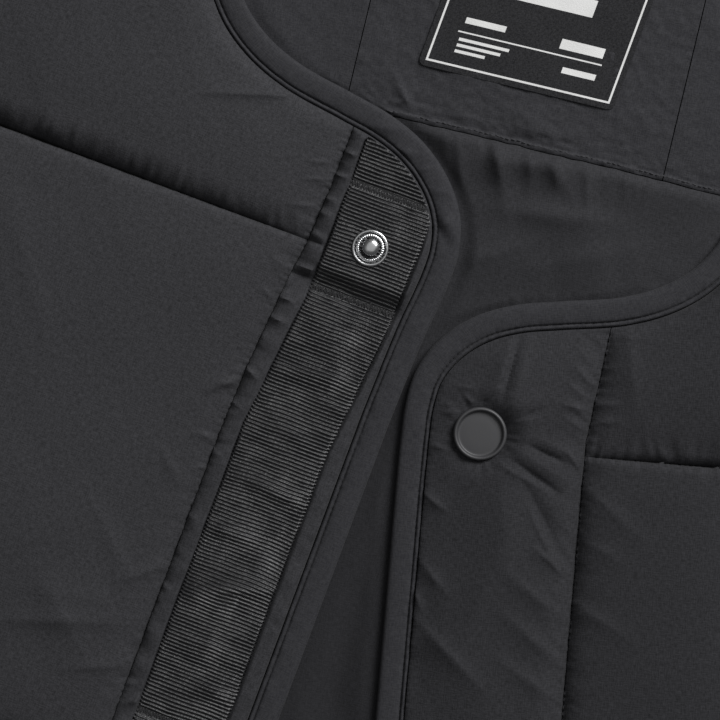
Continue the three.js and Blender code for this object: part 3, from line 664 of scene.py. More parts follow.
def new_material(name, roughness, metallic=0.0, sheen=0.0, specular=0.5):
    """A material with a bare Principled shader, and its tree and shader to build on."""
    material = bpy.data.materials.new(name)
    material.use_nodes = True
    tree = material.node_tree
    shader = tree.nodes["Principled BSDF"]
    shader.inputs["Roughness"].default_value = roughness
    shader.inputs["Metallic"].default_value = metallic
    shader.inputs["Sheen Weight"].default_value = sheen
    shader.inputs["Specular IOR Level"].default_value = specular
    return material, tree, shader


def maths(tree, operation, *operands):
    """One Math node. Each operand is a number or another node's output."""
    node = add_node(tree, "Math", operation=operation)
    for socket, operand in zip(node.inputs, operands):
        if isinstance(operand, (int, float)):
            socket.default_value = operand
        else:
            tree.links.new(operand, socket)
    return node.outputs[0]


def mixed_colour(tree, share, first, second):
    """`share` of the second colour over the first. Each is a hex value or a node's output."""
    node = add_node(tree, "Mix", {"Factor": share}, data_type="RGBA")
    for socket, colour in (("A", first), ("B", second)):
        if isinstance(colour, str):
            node.inputs[socket].default_value = linear(colour)
        else:
            tree.links.new(colour, node.inputs[socket])
    return node.outputs["Result"]


# %% Woven cloth
def woven(name, dark, light, roughness, thread, slub, depth, sheen=0.05, gloss=0.12):
    """Plain-woven cloth. Two noises drawn out along the warp and the weft are its threads: they
    are `thread` mm apart and `slub` mm long. They shade the colour and lift the surface by
    `depth` mm."""
    material, tree, shader = new_material(name, roughness, sheen=sheen, specular=gloss)
    place = add_node(tree, "TexCoord").outputs["UV"]
    threads = []
    for across, along in ((1, 0), (0, 1)):
        size = [1000 / (slub if axis else thread) for axis in (across, along)]
        stretched = add_node(tree, "Mapping", {"Vector": place},
                             {"Scale": (size[0], size[1], 1), "Location": (across * 7, 3, 0)})
        threads.append(add_node(
            tree, "TexNoise", {"Vector": stretched.outputs["Vector"]},
            {"Scale": 1.0, "Detail": 2.0, "Roughness": 0.6}, noise_dimensions="2D").outputs["Fac"])
    height = maths(tree, "ADD", *threads)
    spread = add_node(tree, "MapRange", {"Value": height},
                      {"From Min": 0.65, "From Max": 1.35})
    colour = mixed_colour(tree, spread.outputs["Result"], dark, light)
    tree.links.new(colour, shader.inputs["Base Color"])
    bump = add_node(tree, "Bump", {"Height": height},
                    {"Strength": 1.0, "Distance": depth / 1000})
    tree.links.new(bump.outputs["Normal"], shader.inputs["Normal"])
    return material


# Threads of such cloth are too fine to show, about 0.1 mm apart as a rule. Most are drawn
# 0.34 mm apart, so that a few slubs catch the eye.
SHELL = woven("nylon_taslan_shell_woven", "#28282a", "#3d3d40", 0.8, 0.34, 1.9, 0.06)
# The left front is a shade darker than the right one. It is painted shade: a darker copy of
# the same cloth, fitted, and it stays in any light. Why isn't known. It is meant as the same
# cloth: this shade is fitted by eye and stays in any light.
SHELL_PAINTED_SHADE = woven("nylon_taslan_shell_painted_shade", "#242426", "#37373a", 0.8, 0.34, 1.9, 0.06)
LINING_CLOTH = woven("polyester_taffeta_lining_woven", "#272729", "#37373a", 0.8, 0.34, 2.0, 0.05)
YOKE_CLOTH = woven("nylon_yoke_woven", "#29292c", "#3b3b3e", 0.8, 0.34, 1.8, 0.05)
BINDING_CLOTH = woven("folded_bias_binding_woven", "#29292c", "#39393c", 0.75, 0.34, 2.0, 0.04)
GROSGRAIN = woven("polyester_grosgrain_ribbed", "#0f0f11", "#2d2d2f", 0.43, 0.45, 1.0, 0.09,
                  gloss=0.5)
THREAD = woven("polyester_thread_spun", "#1f1f21", "#2c2c2e", 0.6, 0.3, 1.0, 0.02)
TOPSTITCH = woven("polyester_topstitch_thread_spun", "#333335", "#424245", 0.6, 0.3, 1.0, 0.02)


def plain_metal(name, colour, roughness, metallic=1.0):
    """Metal or lacquer whose gloss varies a little, in a fine grain."""
    material, tree, shader = new_material(name, roughness, metallic)
    place = add_node(tree, "TexCoord").outputs["Object"]
    grain = add_node(tree, "TexNoise", {"Vector": place},
                     {"Scale": 2500.0, "Detail": 2.0})
    shade = add_node(tree, "MapRange", {"Value": grain.outputs["Fac"]},
                     {"To Min": roughness - 0.05, "To Max": roughness + 0.07})
    tree.links.new(shade.outputs["Result"], shader.inputs["Roughness"])
    shader.inputs["Base Color"].default_value = linear(colour)
    return material


NICKEL = plain_metal("brass_snap_nickel_plated", "#d4d5d6", 0.28)
CAP_PAINT = plain_metal("brass_cap_matt_black_lacquer", "#404042", 0.5, 0.15)


def finish(piece, material, slot_name, *replaced):
    """Gives a piece its material, and hides the CAD nodes it stands for. The slot name is not used."""
    piece.data.materials.clear()
    piece.data.materials.append(material)
    if replaced:
        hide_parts(*replaced)
    print(f"{piece.name}: {len(piece.data.polygons)} faces")
    return piece


# %% [markdown]
# ## The padded fronts
#
# Each front is a main panel and a placket. The main panel is quilted straight across a little
# below each snap, so its wadding bulges between the lines.

# %% Folds in layout mm: from x, y, to x, y, width, rise
RIGHT_PANEL_FOLDS = (
    (-58.7, -21.4, -85.4, -27, 1.6, 1.2), (-62, -15, -80, -16.5, 2.6, 0.7),
    (-70, 10, -95, -8, 5, 1), (-88, 22, -108, -4, 6, 1.1),
    (-57.9, -78.8, -54.4, -81.2, 0.8, 0.8), (-65.3, -109.2, -58, -104.9, 1.2, 0.9),
    (-57.9, -105.6, -66.4, -111.2, 1.2, 0.8), (-67.2, -163.9, -78.2, -170.4, 2.2, 0.9),
    (-70.7, -194.3, -85.8, -198.6, 2.2, 0.9), (-52.8, -44.6, -47, -43.3, 0.8, 0.9),
    (-54, -39.5, -47.5, -38.6, 0.7, 0.7), (-55, -52.8, -48, -51.6, 0.9, 0.9),
    (-56.5, -69.5, -51.5, -71.5, 1.2, 0.9), (-75.5, -131, -70, -138, 1.6, 0.7),
    (-92, -150, -78, -168, 3.5, 0.8), (-100, -176, -88, -190, 3.5, 0.8),
    (-66, -124, -61.5, -124.5, 1.2, 0.7), (-64.5, -133.5, -61.5, -133, 1, 0.6),
    (-150, 40, -128, -8, 7, 1), (-186, -66, -150, -84, 6, 1.1),
    (-196, -104, -158, -112, 7, 1.2), (-222, -150, -184, -140, 6, 1),
    (-246, -176, -206, -192, 7, 0.9), (-140, -62, -118, -104, 8, 0.9),
)
LEFT_PANEL_FOLDS = (
    (43.3, -88.9, 49, -87.4, 1, 0.9), (43.6, -94.5, 50.5, -92.5, 1.2, 0.9),
    (45, -112, 62, -122, 3.5, 1), (48, -66, 54, -84, 3, 0.8),
    (49, -128, 60, -131, 2.5, 0.7), (50.5, -146, 66, -152, 3, 0.8),
    (146, 24, 122, -22, 7, 1), (188, -80, 152, -96, 6, 1.1),
    (200, -124, 160, -128, 7, 1.1), (224, -168, 188, -158, 6, 1),
    (244, -196, 206, -208, 7, 0.9), (132, -104, 110, -150, 8, 0.9),
)


def seam_u(side, v):
    """The placket's seam as it was drawn."""
    return read_table(side["seam"], v)


def sewn_u(side, v):
    """The seam as it is sewn: between stitches it moves to one side and the other, by less than
    0.3 mm, and by less still where the thread is slack."""
    seed = 11 if side["sign"] < 0 else 52
    slack = 0.7 + 0.3 * waver(v, 5, seed + 60)
    return seam_u(side, v) + 0.45 * slack * (between_stitches(-v, seed) - 0.6)


# %% Main panel of a front
PANEL_SEAM, PANEL_RISE = 2.8, 8.8
QUILT_V = -QUILT_DROP - SNAP_PITCH * np.arange(SNAP_COUNT)
# `roll` and `depth` shape the drop into a quilted line from above, `reach` is the climb from the
# placket seam in mm, `crimp` what its stitches add at the top, and the last two are puckers.
PANELS = {
    "right": dict(
        folds=RIGHT_PANEL_FOLDS, seed=11, cloth=SHELL, fine_share=0.72, roll=8.5, depth=0.8,
        reach=90, crimp=0.45, at_seam=0.7, under_line=0.7,
    ),
    # The left front takes the shell's darker copy, with painted shade.
    "left": dict(
        folds=LEFT_PANEL_FOLDS, seed=52, cloth=SHELL_PAINTED_SHADE, fine_share=0.42, roll=3.6, depth=0.42,
        reach=42, crimp=0.0, at_seam=0.5, under_line=1.2,
    ),
}


def above_quilting(side, x, y):
    """Distance above (+) or below (-) the nearest quilted line. Each line runs straight from the
    placket seam to the side."""
    nearest = np.full(x.shape, 1e9)
    for line_v, line_y in zip(QUILT_V, side["quilt_outer_y"]):
        ax, ay = lay_out(side, seam_u(side, line_v), line_v)
        bx, by = side["sign"] * float(panel_x(side, np.array(line_y))), line_y
        length = math.hypot(bx - ax, by - ay)
        above = ((x - ax) * (by - ay) - (y - ay) * (bx - ax)) / length * -side["sign"]
        nearest = np.where(np.abs(above) < np.abs(nearest), above, nearest)
    return nearest


def front_panel(name):
    """Rows run from the neck or the placket seam out to the armhole and the side. The height is
    the seam's thickness and the loft, cut down near each stitched line, with puckers and folds."""
    side, look = SIDES[name], PANELS[name]
    seed, neck_w = look["seed"], side["neck_w"]
    corner_v, hem_v = side["corner_v"], side["hem_v"]
    w = spaced((0, 40, 2.2), (40, neck_w, 0.9))
    v = spaced((corner_v - 0.6, FINE_TO_V, 0.5), (FINE_TO_V, hem_v + 6, 3.1),
               (hem_v + 6, hem_v, 1.5))
    neck_u, neck_v = inset(side["edge"], w, GAP_DEPTH)
    neck_u[-1] -= STITCHED_GAP / 2
    inner_u = np.concatenate([neck_u, sewn_u(side, v) - STITCHED_GAP / 2])
    inner_v = np.concatenate([neck_v, v])
    in_neck = (np.arange(len(inner_v)) < len(w))[:, None]
    arm_top = side["shoulder_arm"][1] - shoulder_slope(side) * ARM_INSET
    outer_marks_v = np.array([corner_v, *QUILT_V, hem_v])
    outer_marks_y = np.array([side["corner_row_y"], *side["quilt_outer_y"], side["hem_side_y"]])
    outer_y = np.concatenate([
        arm_top + (side["corner_row_y"] - arm_top) * w / neck_w,
        np.interp(-v, -outer_marks_v, outer_marks_y)])
    from_x, from_y = lay_out(side, inner_u, inner_v)
    to_x, to_y = side["sign"] * panel_x(side, outer_y), outer_y
    share = spaced((0, 0.035, 0.0025), (0.035, 0.1, 0.0045), (0.1, look["fine_share"], 0.0058),
                   (look["fine_share"], 0.94, 0.024), (0.94, 1, 0.012))
    x = between(from_x, to_x, share)
    y = between(from_y, to_y, share)
    u, vv = to_pattern(side, x, y)
    inner = np.stack([from_x, from_y], -1)
    to_neck = line_distance(inner[:len(w)][::6], x, y)
    to_seam = line_distance(inner[len(w) - 1:][::8], x, y)
    to_inner = np.minimum(to_neck, to_seam)
    to_rim = np.minimum(outline_distance(side, x, y), panel_x(side, y) - np.abs(x))
    inside_rim = np.maximum(to_rim, 0)
    to_hem = np.where(in_neck, 999.0, inner_v[:, None] - hem_v)
    to_quilt = above_quilting(side, x, y)
    if name == "left":
        to_quilt += 0.4 * (between_stitches(u, seed + 3) - 0.6) + 0.3 * waver(u, 8, seed + 4)
    low = front_low(side, x, y, to_hem)
    gap, above = np.abs(to_quilt), to_quilt > 0
    along_seam = np.where(in_neck, 40 - inner_v[:, None], -inner_v[:, None]) + 0 * x
    at_line = np.where(above, rolled(gap, look["roll"], look["depth"]),
                       0.45 + 0.55 * lofted(gap, 0.7, 30, 0.6))
    loft = lofted(to_neck, 1.6, 50, 0.55) * lofted(to_seam, 2.2, look["reach"], 0.36, 1.5)
    loft = loft * lofted(inside_rim, 4) * lofted(to_hem, 3)
    height = PANEL_SEAM + PANEL_RISE * loft * at_line
    crimp = 0.25 + look["crimp"] * ramp(vv, -115, 50)
    height += stitch_beads(along_seam, to_seam, seed, height=crimp)
    height += puckers(along_seam, to_inner, seed, 1.7, 3.2, look["at_seam"])
    height += puckers(along_seam, to_inner, seed + 7, 4.0, 6, 0.45) * lofted(gap, 2, 8)
    over = puckers(u, gap, seed + 10, 1.7, 5, 1.3) + puckers(u, gap, seed + 12, 5, 8, 0.6)
    under = puckers(u, gap, seed + 13, 1.3, 1.5, look["under_line"])
    under = under + puckers(u, gap, seed + 15, 4, 2.5, 0.6)
    height += np.where(above, over, under)
    height += puckers(vv, inside_rim, seed + 20, pitch=4.5, reach=6, height=0.6)
    calm = np.clip(np.minimum(to_inner, gap) / 14, 0, 1)
    height += calm * (0.7 * uneven(u, vv, 34, 42, seed + 30) + 0.2 * uneven(u, vv, 15, 19, seed + 31))
    height += calm * 0.07 * uneven(u + 0.7 * vv, vv - 0.3 * u, 5, 22, seed + 32)
    height += laid_folds(folds_further_down(look["folds"], side, seed + 40, 2.2), x, y)
    piece = closed_skin(f"{name}_front_quilted", x, y, low + np.maximum(height, 1.2), low,
                        np.stack([u, vv], -1), keep=9)
    return finish(piece, look["cloth"], "shell", f"{name}_front_panel")


front_panel("right")
front_panel("left")

# %% Placket folds
LEFT_PLACKET_FOLDS = (
    (19.5, -112, 35.5, -116.8, 0.6, 0.7), (24.4, -110.4, 39, -116.4, 1.2, -1.5),
    (25, -107.4, 41, -112.8, 2.2, 0.7), (28.5, -105.2, 38, -107.2, 0.9, -1.4),
    (29.5, -102.6, 41, -105, 1.8, 0.7), (38.6, -104.2, 43.3, -108, 0.8, 0.8),
    (15.6, -76.5, 14.6, -90, 2.6, 1.2), (17.6, -76.5, 17, -92.6, 1.2, -1.5),
    (20.5, -78, 19.8, -93, 2.6, 1), (20.4, -97.3, 25.6, -90.9, 1.2, 1.1),
    (22.2, -99, 27.4, -94.4, 1, -1.1), (22, -99.4, 27.2, -96.9, 0.9, 0.8),
    (11.8, -94.8, 12.2, -97, 0.9, -0.7), (6.4, -95.4, 9.4, -97.2, 0.7, 0.8),
    (1.8, -101.2, 5.8, -100.2, 0.9, 1), (-0.2, -111.3, 4.4, -111.7, 0.9, 0.9),
    (1.7, -126, 6.9, -128.4, 1.2, 1.3), (0.9, -99, 3.6, -98.8, 0.8, 0.7),
    (4, -93, 8, -92.6, 0.9, 0.6), (5.5, -145.7, 12.4, -151, 2, 1.3),
    (3.6, -152, 7.6, -158, 1.6, 1), (8.3, -162.4, 27.5, -175, 3, 1.5),
    (31, -122, 44, -138.5, 0.7, 0.7), (29.5, -117, 44, -133, 2.6, -1.2),
    (36.5, -133.8, 45.2, -138.5, 0.8, 0.9), (22, -118, 28, -136, 5, 0.8),
    (37, -80.5, 41.5, -83.5, 1, 0.9), (36, -85.5, 41.5, -88, 1, 0.9),
    (35.5, -91, 41.5, -91.2, 1.1, 1.2), (37, -95, 41.8, -97, 1.1, 1),
    (33, -144, 45, -150, 3.2, 1.3), (35, -156, 48, -163, 3.6, 1.4),
    (37, -169, 50, -174, 3, 1.2), (26, -142, 22, -160, 5, 1),
)
RIGHT_PLACKET_FOLDS = (
    (-52, -69.6, -43.5, -70.4, 1.2, 1.6), (-51.8, -71.8, -43, -72.7, 0.7, -1.5),
    (-49.6, -52.9, -45, -53.4, 0.9, 1.6), (-46.9, -41.4, -42.9, -41.6, 0.9, 1.6),
    (-50, -61.2, -44.5, -62.4, 0.9, -1.8), (-50.5, -59.2, -45, -60.2, 1.2, 1.3),
    (-52.6, -79.8, -48.9, -80.6, 0.8, 1.4), (-54.5, -85.9, -50.4, -86.7, 0.9, 1.4),
    (-58.5, -101.8, -55, -103.8, 0.9, 1.4), (-45, -34.5, -41, -34.8, 0.8, 1.2),
    (-48.3, -48.6, -45, -48.8, 0.8, 1.2), (-61, -112, -57.5, -113.5, 0.8, 1.2),
    (-64, -127, -60, -128.5, 0.9, 1.2), (-67, -147, -63, -148, 0.9, 1.2),
)


def snap_number(v):
    """Which snap is the nearest, counted from 0 at the top."""
    return np.clip(np.round(-v / SNAP_PITCH), 0, SNAP_COUNT - 1)


def snap_offset(v):
    """How far above (+) or below (-) the nearest snap a point lies, down the placket."""
    return v + SNAP_PITCH * snap_number(v)


def snap_distance(v):
    """How far the nearest snap is, either way."""
    return np.abs(snap_offset(v))


TACK_DIP, TACK_DIP_BELOW = 1.3, 15.5


def tack_dip(v):
    """The tack below a snap pulls the padding down, falling off over 4 mm."""
    return TACK_DIP * bell(snap_offset(v) + TACK_DIP_BELOW, 4)


PRESSED_OUT, LOW_OUT, RISE_OVER = 9, 14, 60


def placket_loft(side, v):
    """Height of a placket above its underside: pressed by each snap, low just past it, and
    rising again between snaps."""
    loft, away = side["loft"], snap_distance(v)
    climb = 1 - (1 - ramp(away, LOW_OUT, RISE_OVER)) ** 2.4
    drop = ramp(away, PRESSED_OUT, LOW_OUT - PRESSED_OUT)
    past = np.where(away <= LOW_OUT, loft["at_snap"] + (loft["low"] - loft["at_snap"]) * drop,
                    loft["low"] + (loft["high"] - loft["low"]) * climb)
    held = (away <= PRESSED_OUT) | (v > 0)
    near_hem = v - side["hem_v"] < LOW_OUT + 0.5
    return np.where(held, loft["at_snap"], np.where(near_hem, loft["low"], past))


# %% A placket, from its seam to the binding
def placket_grid(side, step_v, columns):
    """Rows blend from the corner under the binding to straight rows, then run down to the hem."""
    hem_v = side["hem_v"]
    top_w = side["neck_w"] + 0.2 + (side["corner_w"] - side["neck_w"] - 0.2) * columns
    top_u, top_v = inset(side["edge"], top_w, GAP_DEPTH)
    first = seam_u(side, LEVEL_V) + STITCHED_GAP / 2
    first_u = first + (edge_u(side, LEVEL_V, GAP_DEPTH) - first) * columns
    blend = spaced((0, 1, 1 / 56))[:-1, None]
    v = spaced((LEVEL_V, FINE_TO_V, step_v), (FINE_TO_V, hem_v + 6, 2.2), (hem_v + 6, hem_v, 1.5))
    start = sewn_u(side, v) + STITCHED_GAP / 2
    stop = edge_u(side, v, GAP_DEPTH)
    u = np.vstack([top_u + (first_u - top_u) * blend,
                   between(start, stop, columns)])
    vv = np.vstack([top_v + (LEVEL_V - top_v) * blend, np.repeat(v[:, None], len(columns), 1)])
    x, y = lay_out(side, u, vv)
    low = front_low(side, x, y, vv - hem_v)
    border = np.stack(inset(side["edge"], spaced((side["neck_w"] - 6, side["edge"]["total"], 4)),
                            GAP_DEPTH), -1)
    to_seam = np.maximum(u - seam_u(side, vv), 0)
    return u, vv, x, y, low, to_seam, line_distance(border, u, vv), vv - hem_v


def right_placket(folds):
    """Lies flat under the snap tape, and puckers where it shows on either side of it."""
    side = SIDES["right"]
    columns = spaced((0, 0.15, 0.011), (0.15, 0.74, 0.045), (0.74, 1, 0.011))
    u, v, x, y, low, to_seam, to_binding, to_hem = placket_grid(side, 0.5, columns)
    under_tape = TAPE_WIDTH / 2 - np.abs(u - read_table(side["tape"], v))
    rise = placket_loft(side, v) - 0.25 - tack_dip(v)
    free = np.clip(-under_tape, 0, 1)
    edges = lofted(to_seam, 1.1, 4, 0.75) * lofted(to_binding, 0.4, 3, 0.9)
    shape = 2.9 + (rise + 1.5 * free - 2.9) * edges
    shape += 0.25 + stitch_beads(-v, to_seam, 11, reach=1.4, height=0.3)
    shape += free * (puckers(-v, to_seam, 81, 1.9, 3.0, 0.8) + puckers(-v, to_seam, 85, 5, 9, 0.8))
    by_binding = puckers(-v, to_binding, 83, 2.2, 2.5, 0.5) + puckers(-v, to_binding, 87, 6, 7, 0.6)
    shape += free * by_binding
    shape += free * laid_folds(folds_further_down(folds, side, 89, 1.2), x, y)
    shape *= 0.5 + 0.5 * lofted(to_hem, 2, 8)
    piece = closed_skin("right_placket_padded", x, y, low + np.maximum(shape, 1), low,
                        np.stack([u, v], -1), keep=5)
    return finish(piece, SHELL, "shell", "right_placket")


def left_placket(folds):
    """Padded like the panels, pressed flat under each cap, with folds that fan out from it."""
    side = SIDES["left"]
    columns = spaced((0, 0.1, 0.0085), (0.1, 0.88, 0.013), (0.88, 1, 0.0085))
    u, v, x, y, low, to_seam, to_binding, to_hem = placket_grid(side, 0.52, columns)
    to_cap = np.hypot(u, snap_offset(v))
    loft = lofted(to_seam, 1.8, 9, 0.6) * lofted(to_binding, 1.6, 27, 0.2, 1.6) * lofted(to_hem, 2, 12)
    height = 2.3 + 5.6 * loft
    pressed = ramp(to_cap, 6.6, 8)
    pressed = pressed * (2 - pressed)
    height += 0.5 * bell(to_binding, 2.2)
    height = 4.0 + (height - 4.0) * pressed
    spoke = np.arctan2(snap_offset(v), u)
    fan = uneven(spoke * 9, to_cap * 0.25 + snap_number(v) * 9, 1.3, 3, 97)
    height += 0.3 * fan * bell(to_cap - 9.5, 3.5)
    height += stitch_beads(-v, to_seam, 52, height=0.55)
    height += puckers(-v, to_seam, 91, 1.3, 3.0, 0.4, 0.7) + puckers(-v, to_seam, 98, 2.6, 8, 0.5, 0.9)
    height += stitch_beads(-v, to_binding, 56, reach=0.9, height=0.35)
    height += puckers(-v, to_binding, 94, 1.8, 2.5, 0.35) + puckers(-v, to_binding, 92, 6, 6, 0.4)
    calm = pressed * np.clip(np.minimum(to_seam, to_binding) / 8, 0, 1)
    height += calm * (0.5 * uneven(u, v, 17, 26, 95) + 0.12 * uneven(u + 0.6 * v, v, 5, 14, 96))
    all_folds = folds_further_down(folds, side, 99, 1.3)
    height += laid_folds(all_folds, x, y) * ramp(to_cap, 7.5, 2)
    piece = closed_skin("left_placket_padded", x, y, low + np.maximum(height, 1), low,
                        np.stack([u, v], -1), keep=7)
    # The left placket takes the shell's darker copy, with painted shade.
    return finish(piece, SHELL_PAINTED_SHADE, "shell", "left_placket")


right_placket(RIGHT_PLACKET_FOLDS)
left_placket(LEFT_PLACKET_FOLDS)

# %% [markdown]
# ## The binding
#
# A bias strip is folded round the raw edges of neck and front and stitched down. It is carried
# along the edge as one section: a rounded fold, a smooth band, the stitched groove and the ridge
# of cloth that the stitches push up behind them.

# %% Binding sections: inward from the edge, and up
BAND = np.array((
    (1.0, 0.0), (0.35, 0.4), (0.05, 1.0), (0.0, 1.7), (0.12, 2.3), (0.5, 2.75), (1.1, 2.98),
    (2.2, 3.08), (3.4, 3.1), (4.6, 3.08), (5.5, 3.0), (6.1, 2.86), (6.45, 2.62), (6.65, 2.25),
    (6.8, 2.0), (6.95, 2.2), (7.12, 2.62), (7.35, 2.86), (7.6, 2.92), (7.85, 2.84), (8.05, 2.6),
    (8.18, 2.2), (8.26, 1.5), (8.3, 0.0), (4.5, 0.0),
))
STITCH_INWARD, STITCH_Z, STITCH_PITCH = 6.8, 2.1, 2.0


def band_life(w, inward, seed):
    """What lifts a binding off its even section: soft hollows along the band, puckers that reach
    out from the stitches, pits where the needle went in, and a ridge that is never quite even."""
    to_stitches = np.abs(inward - STITCH_INWARD)
    outer = inward < STITCH_INWARD
    life = 0.16 * uneven(w, inward, 17, 5, seed)
    life = life + 0.08 * uneven(w + 0.8 * inward, inward, 5, 4, seed + 1)
    life += np.where(outer, puckers(w, to_stitches, seed + 2, 1.8, 1.4, 0.3), 0)
    life += np.where(outer, puckers(w, to_stitches, seed + 5, 5.0, 4.0, 0.35), 0)
    life += stitch_beads(w, to_stitches, seed + 8, reach=0.5, height=0.4) - 0.15
    on_ridge = bell(inward - 7.6, 0.5)
    life += on_ridge * 0.22 * waver(w, 1.7, seed + 9)
    life += on_ridge * 0.25 * waver(w, 7, seed + 10)
    return life


def bound_edge(name, line, w, low, band, seed, side=None, folds=()):
    """The section at each station, moved inwards from the line, with its own unevenness. A
    front's line is given in its pattern and is laid out here."""
    inward = band[None, :, 0]
    x, y = inset(line, w[:, None], inward)
    if side is not None:
        x, y = lay_out(side, x, y)
    raised = np.clip(band[None, :, 1] / band[:, 1].max() * 1.5 - 0.3, 0, 1)
    z = band[None, :, 1] + raised * (band_life(w[:, None], inward, seed) + laid_folds(folds, x, y))
    sections = np.stack([x, y, np.asarray(low)[:, None] + z], -1)
    reach = np.concatenate([[0], np.cumsum(np.hypot(*np.diff(band, axis=0).T))])
    uv = np.stack(np.broadcast_arrays(w[:, None], reach[None, :]), -1)
    piece = closed_strip(name, sections, uv)
    return piece


def seat_along(side, w):
    """Height of the seat under a front's bound edge, at running length w."""
    edge_v = np.interp(w, side["edge"]["w"], side["edge"]["p"][:, 1])
    return seat_z(edge_v - side["hem_v"])


def edge_stitches(side):
    """One stitch at each pitch in the groove of a front's binding."""
    line = side["edge"]
    w = np.arange(3, line["total"] - 3, STITCH_PITCH)
    ends = [lay_out(side, *inset(line, w + d, STITCH_INWARD)) for d in (-0.5, 0.5)]
    at = [(p + q) / 2 for p, q in zip(*ends)]
    along = [q - p for p, q in zip(*ends)]
    z = seat_along(side, w) + STITCH_Z
    piece = stitches(f"{side['name']}_front_edge_stitches", np.stack([*at, z], -1),
                     np.stack([*along, 0 * w], -1), 1.3, 0.14)
    return finish(piece, THREAD, "binding")


BINDING_FOLDS = {
    "right": (
        (-38.4, -25, -30.4, -24.4, 1.2, 0.9), (-29.5, -30, -25.4, -30.6, 1, 0.8),
        (-12.6, -44.4, -7.6, -51.4, 1.1, 0.9), (-14.4, -46.4, -9.6, -53.4, 1, -0.8),
        (-22, -34.5, -19, -33.2, 0.8, 0.7), (-16.5, -39, -13.5, -39.4, 0.8, 0.7),
        (-37.5, -5, -33, -6.8, 1, 0.8), (-33.5, -6.5, -30.5, -9.4, 0.9, 0.7),
        (-28.5, -14.9, -25, -17.4, 0.9, 0.7), (-10.5, -46.5, -12.8, -49.8, 0.8, 0.9),
        (-15.2, -56, -19.5, -62, 0.8, 0.8), (-17.8, -60.5, -20.5, -67, 0.9, -0.7),
    ),
    "left": (
        (4.6, -80.5, 8.6, -77.6, 1, 0.5), (17, -71, 19, -67.5, 1, 0.5),
        (28, -69.5, 29.5, -65.5, 1, 0.5),
    ),
}
for name, side in SIDES.items():
    fine = side["edge"]["total"] + (side["hem_v"] + 160)
    w = spaced((0, 40, 2.0), (40, fine, 0.5), (fine, side["edge"]["total"], 2.5))
    piece = bound_edge(f"{name}_front_bound_edge", side["edge"], w, seat_along(side, w), BAND,
                       120 + side["sign"], side, BINDING_FOLDS[name])
    finish(piece, BINDING_CLOTH, "binding", f"{name}_front_binding")
    edge_stitches(side)

# %% [markdown]
# ## The snap tape
#
# Grosgrain has thick weft cords that run straight across it. They are modelled, because their
# highlights are what makes the tape look ribbed. Its top is cut off along the binding.

# %% Snap tape
RIB_PITCH = 1.09
RIB_HEIGHT = 0.6
TACK_FROM_SNAP = 16
TACK_WIDTH = 2.3
TAPE_FOLDS = (
    (-50.5, -99.8, -24.4, -99.2, 3.4, 1.6), (-34, -137, -48.5, -133.9, 3, 2),
    (-45, -150.8, -58.5, -149, 3, 1.7), (-33.5, -163.2, -54, -167.6, 3.3, 3),
    (-60, -171, -50, -169, 3, 1.2), (-47.5, -195.2, -40, -197, 2.6, 1.8),
    (-62, -204, -46.7, -200, 3.2, 1.8), (-31.1, -107, -26.1, -108.8, 1.8, 1.2),
    (-44, -117, -33, -120, 3.5, 1.2), (-58, -182, -42, -184, 4, 1.2),
)


def tape_lift(u, v):
    """How far the tape stands off the placket: it climbs from the tack above a snap, lies proud
    under it, drops steeply to the tack below, and bellies between snaps in folds across it. Its
    top end rides up on the seam under the binding."""
    offset = snap_offset(v)
    away = np.abs(offset)
    climb = np.clip((15 - offset) / 11, 0, 1)
    fall = eased(ramp(-offset, 9.2, 4.6))
    proud = 1.25 * climb * (2 - climb) * (1 - fall)
    sunk = bell(away - TACK_FROM_SNAP, 1.6)
    belly = np.clip((-offset - TACK_FROM_SNAP - 1.5) / 14, 0, 1)
    belly = np.maximum(belly, np.clip((offset - TACK_FROM_SNAP - 1.5) / 14, 0, 1) * (v < 0))
    soft = 0.35 + 0.3 * uneven(u, v, 22, 13, 142) + 0.12 * uneven(u, v, 7, 5, 143)
    x, y = lay_out(SIDES["right"], u, v)
    top_end = 2.2 * np.clip((v - TACK_FROM_SNAP - 1) / 22, 0, 1)
    folded = belly * (soft + laid_folds(TAPE_FOLDS, x, y))
    return np.maximum(proud + folded + top_end - 0.3 * sunk - tack_dip(v), -TACK_DIP)


def tape_left(v):
    """The tape's edge on the seam's side, as u."""
    return read_table(SIDES["right"]["tape"], v) - TAPE_WIDTH / 2


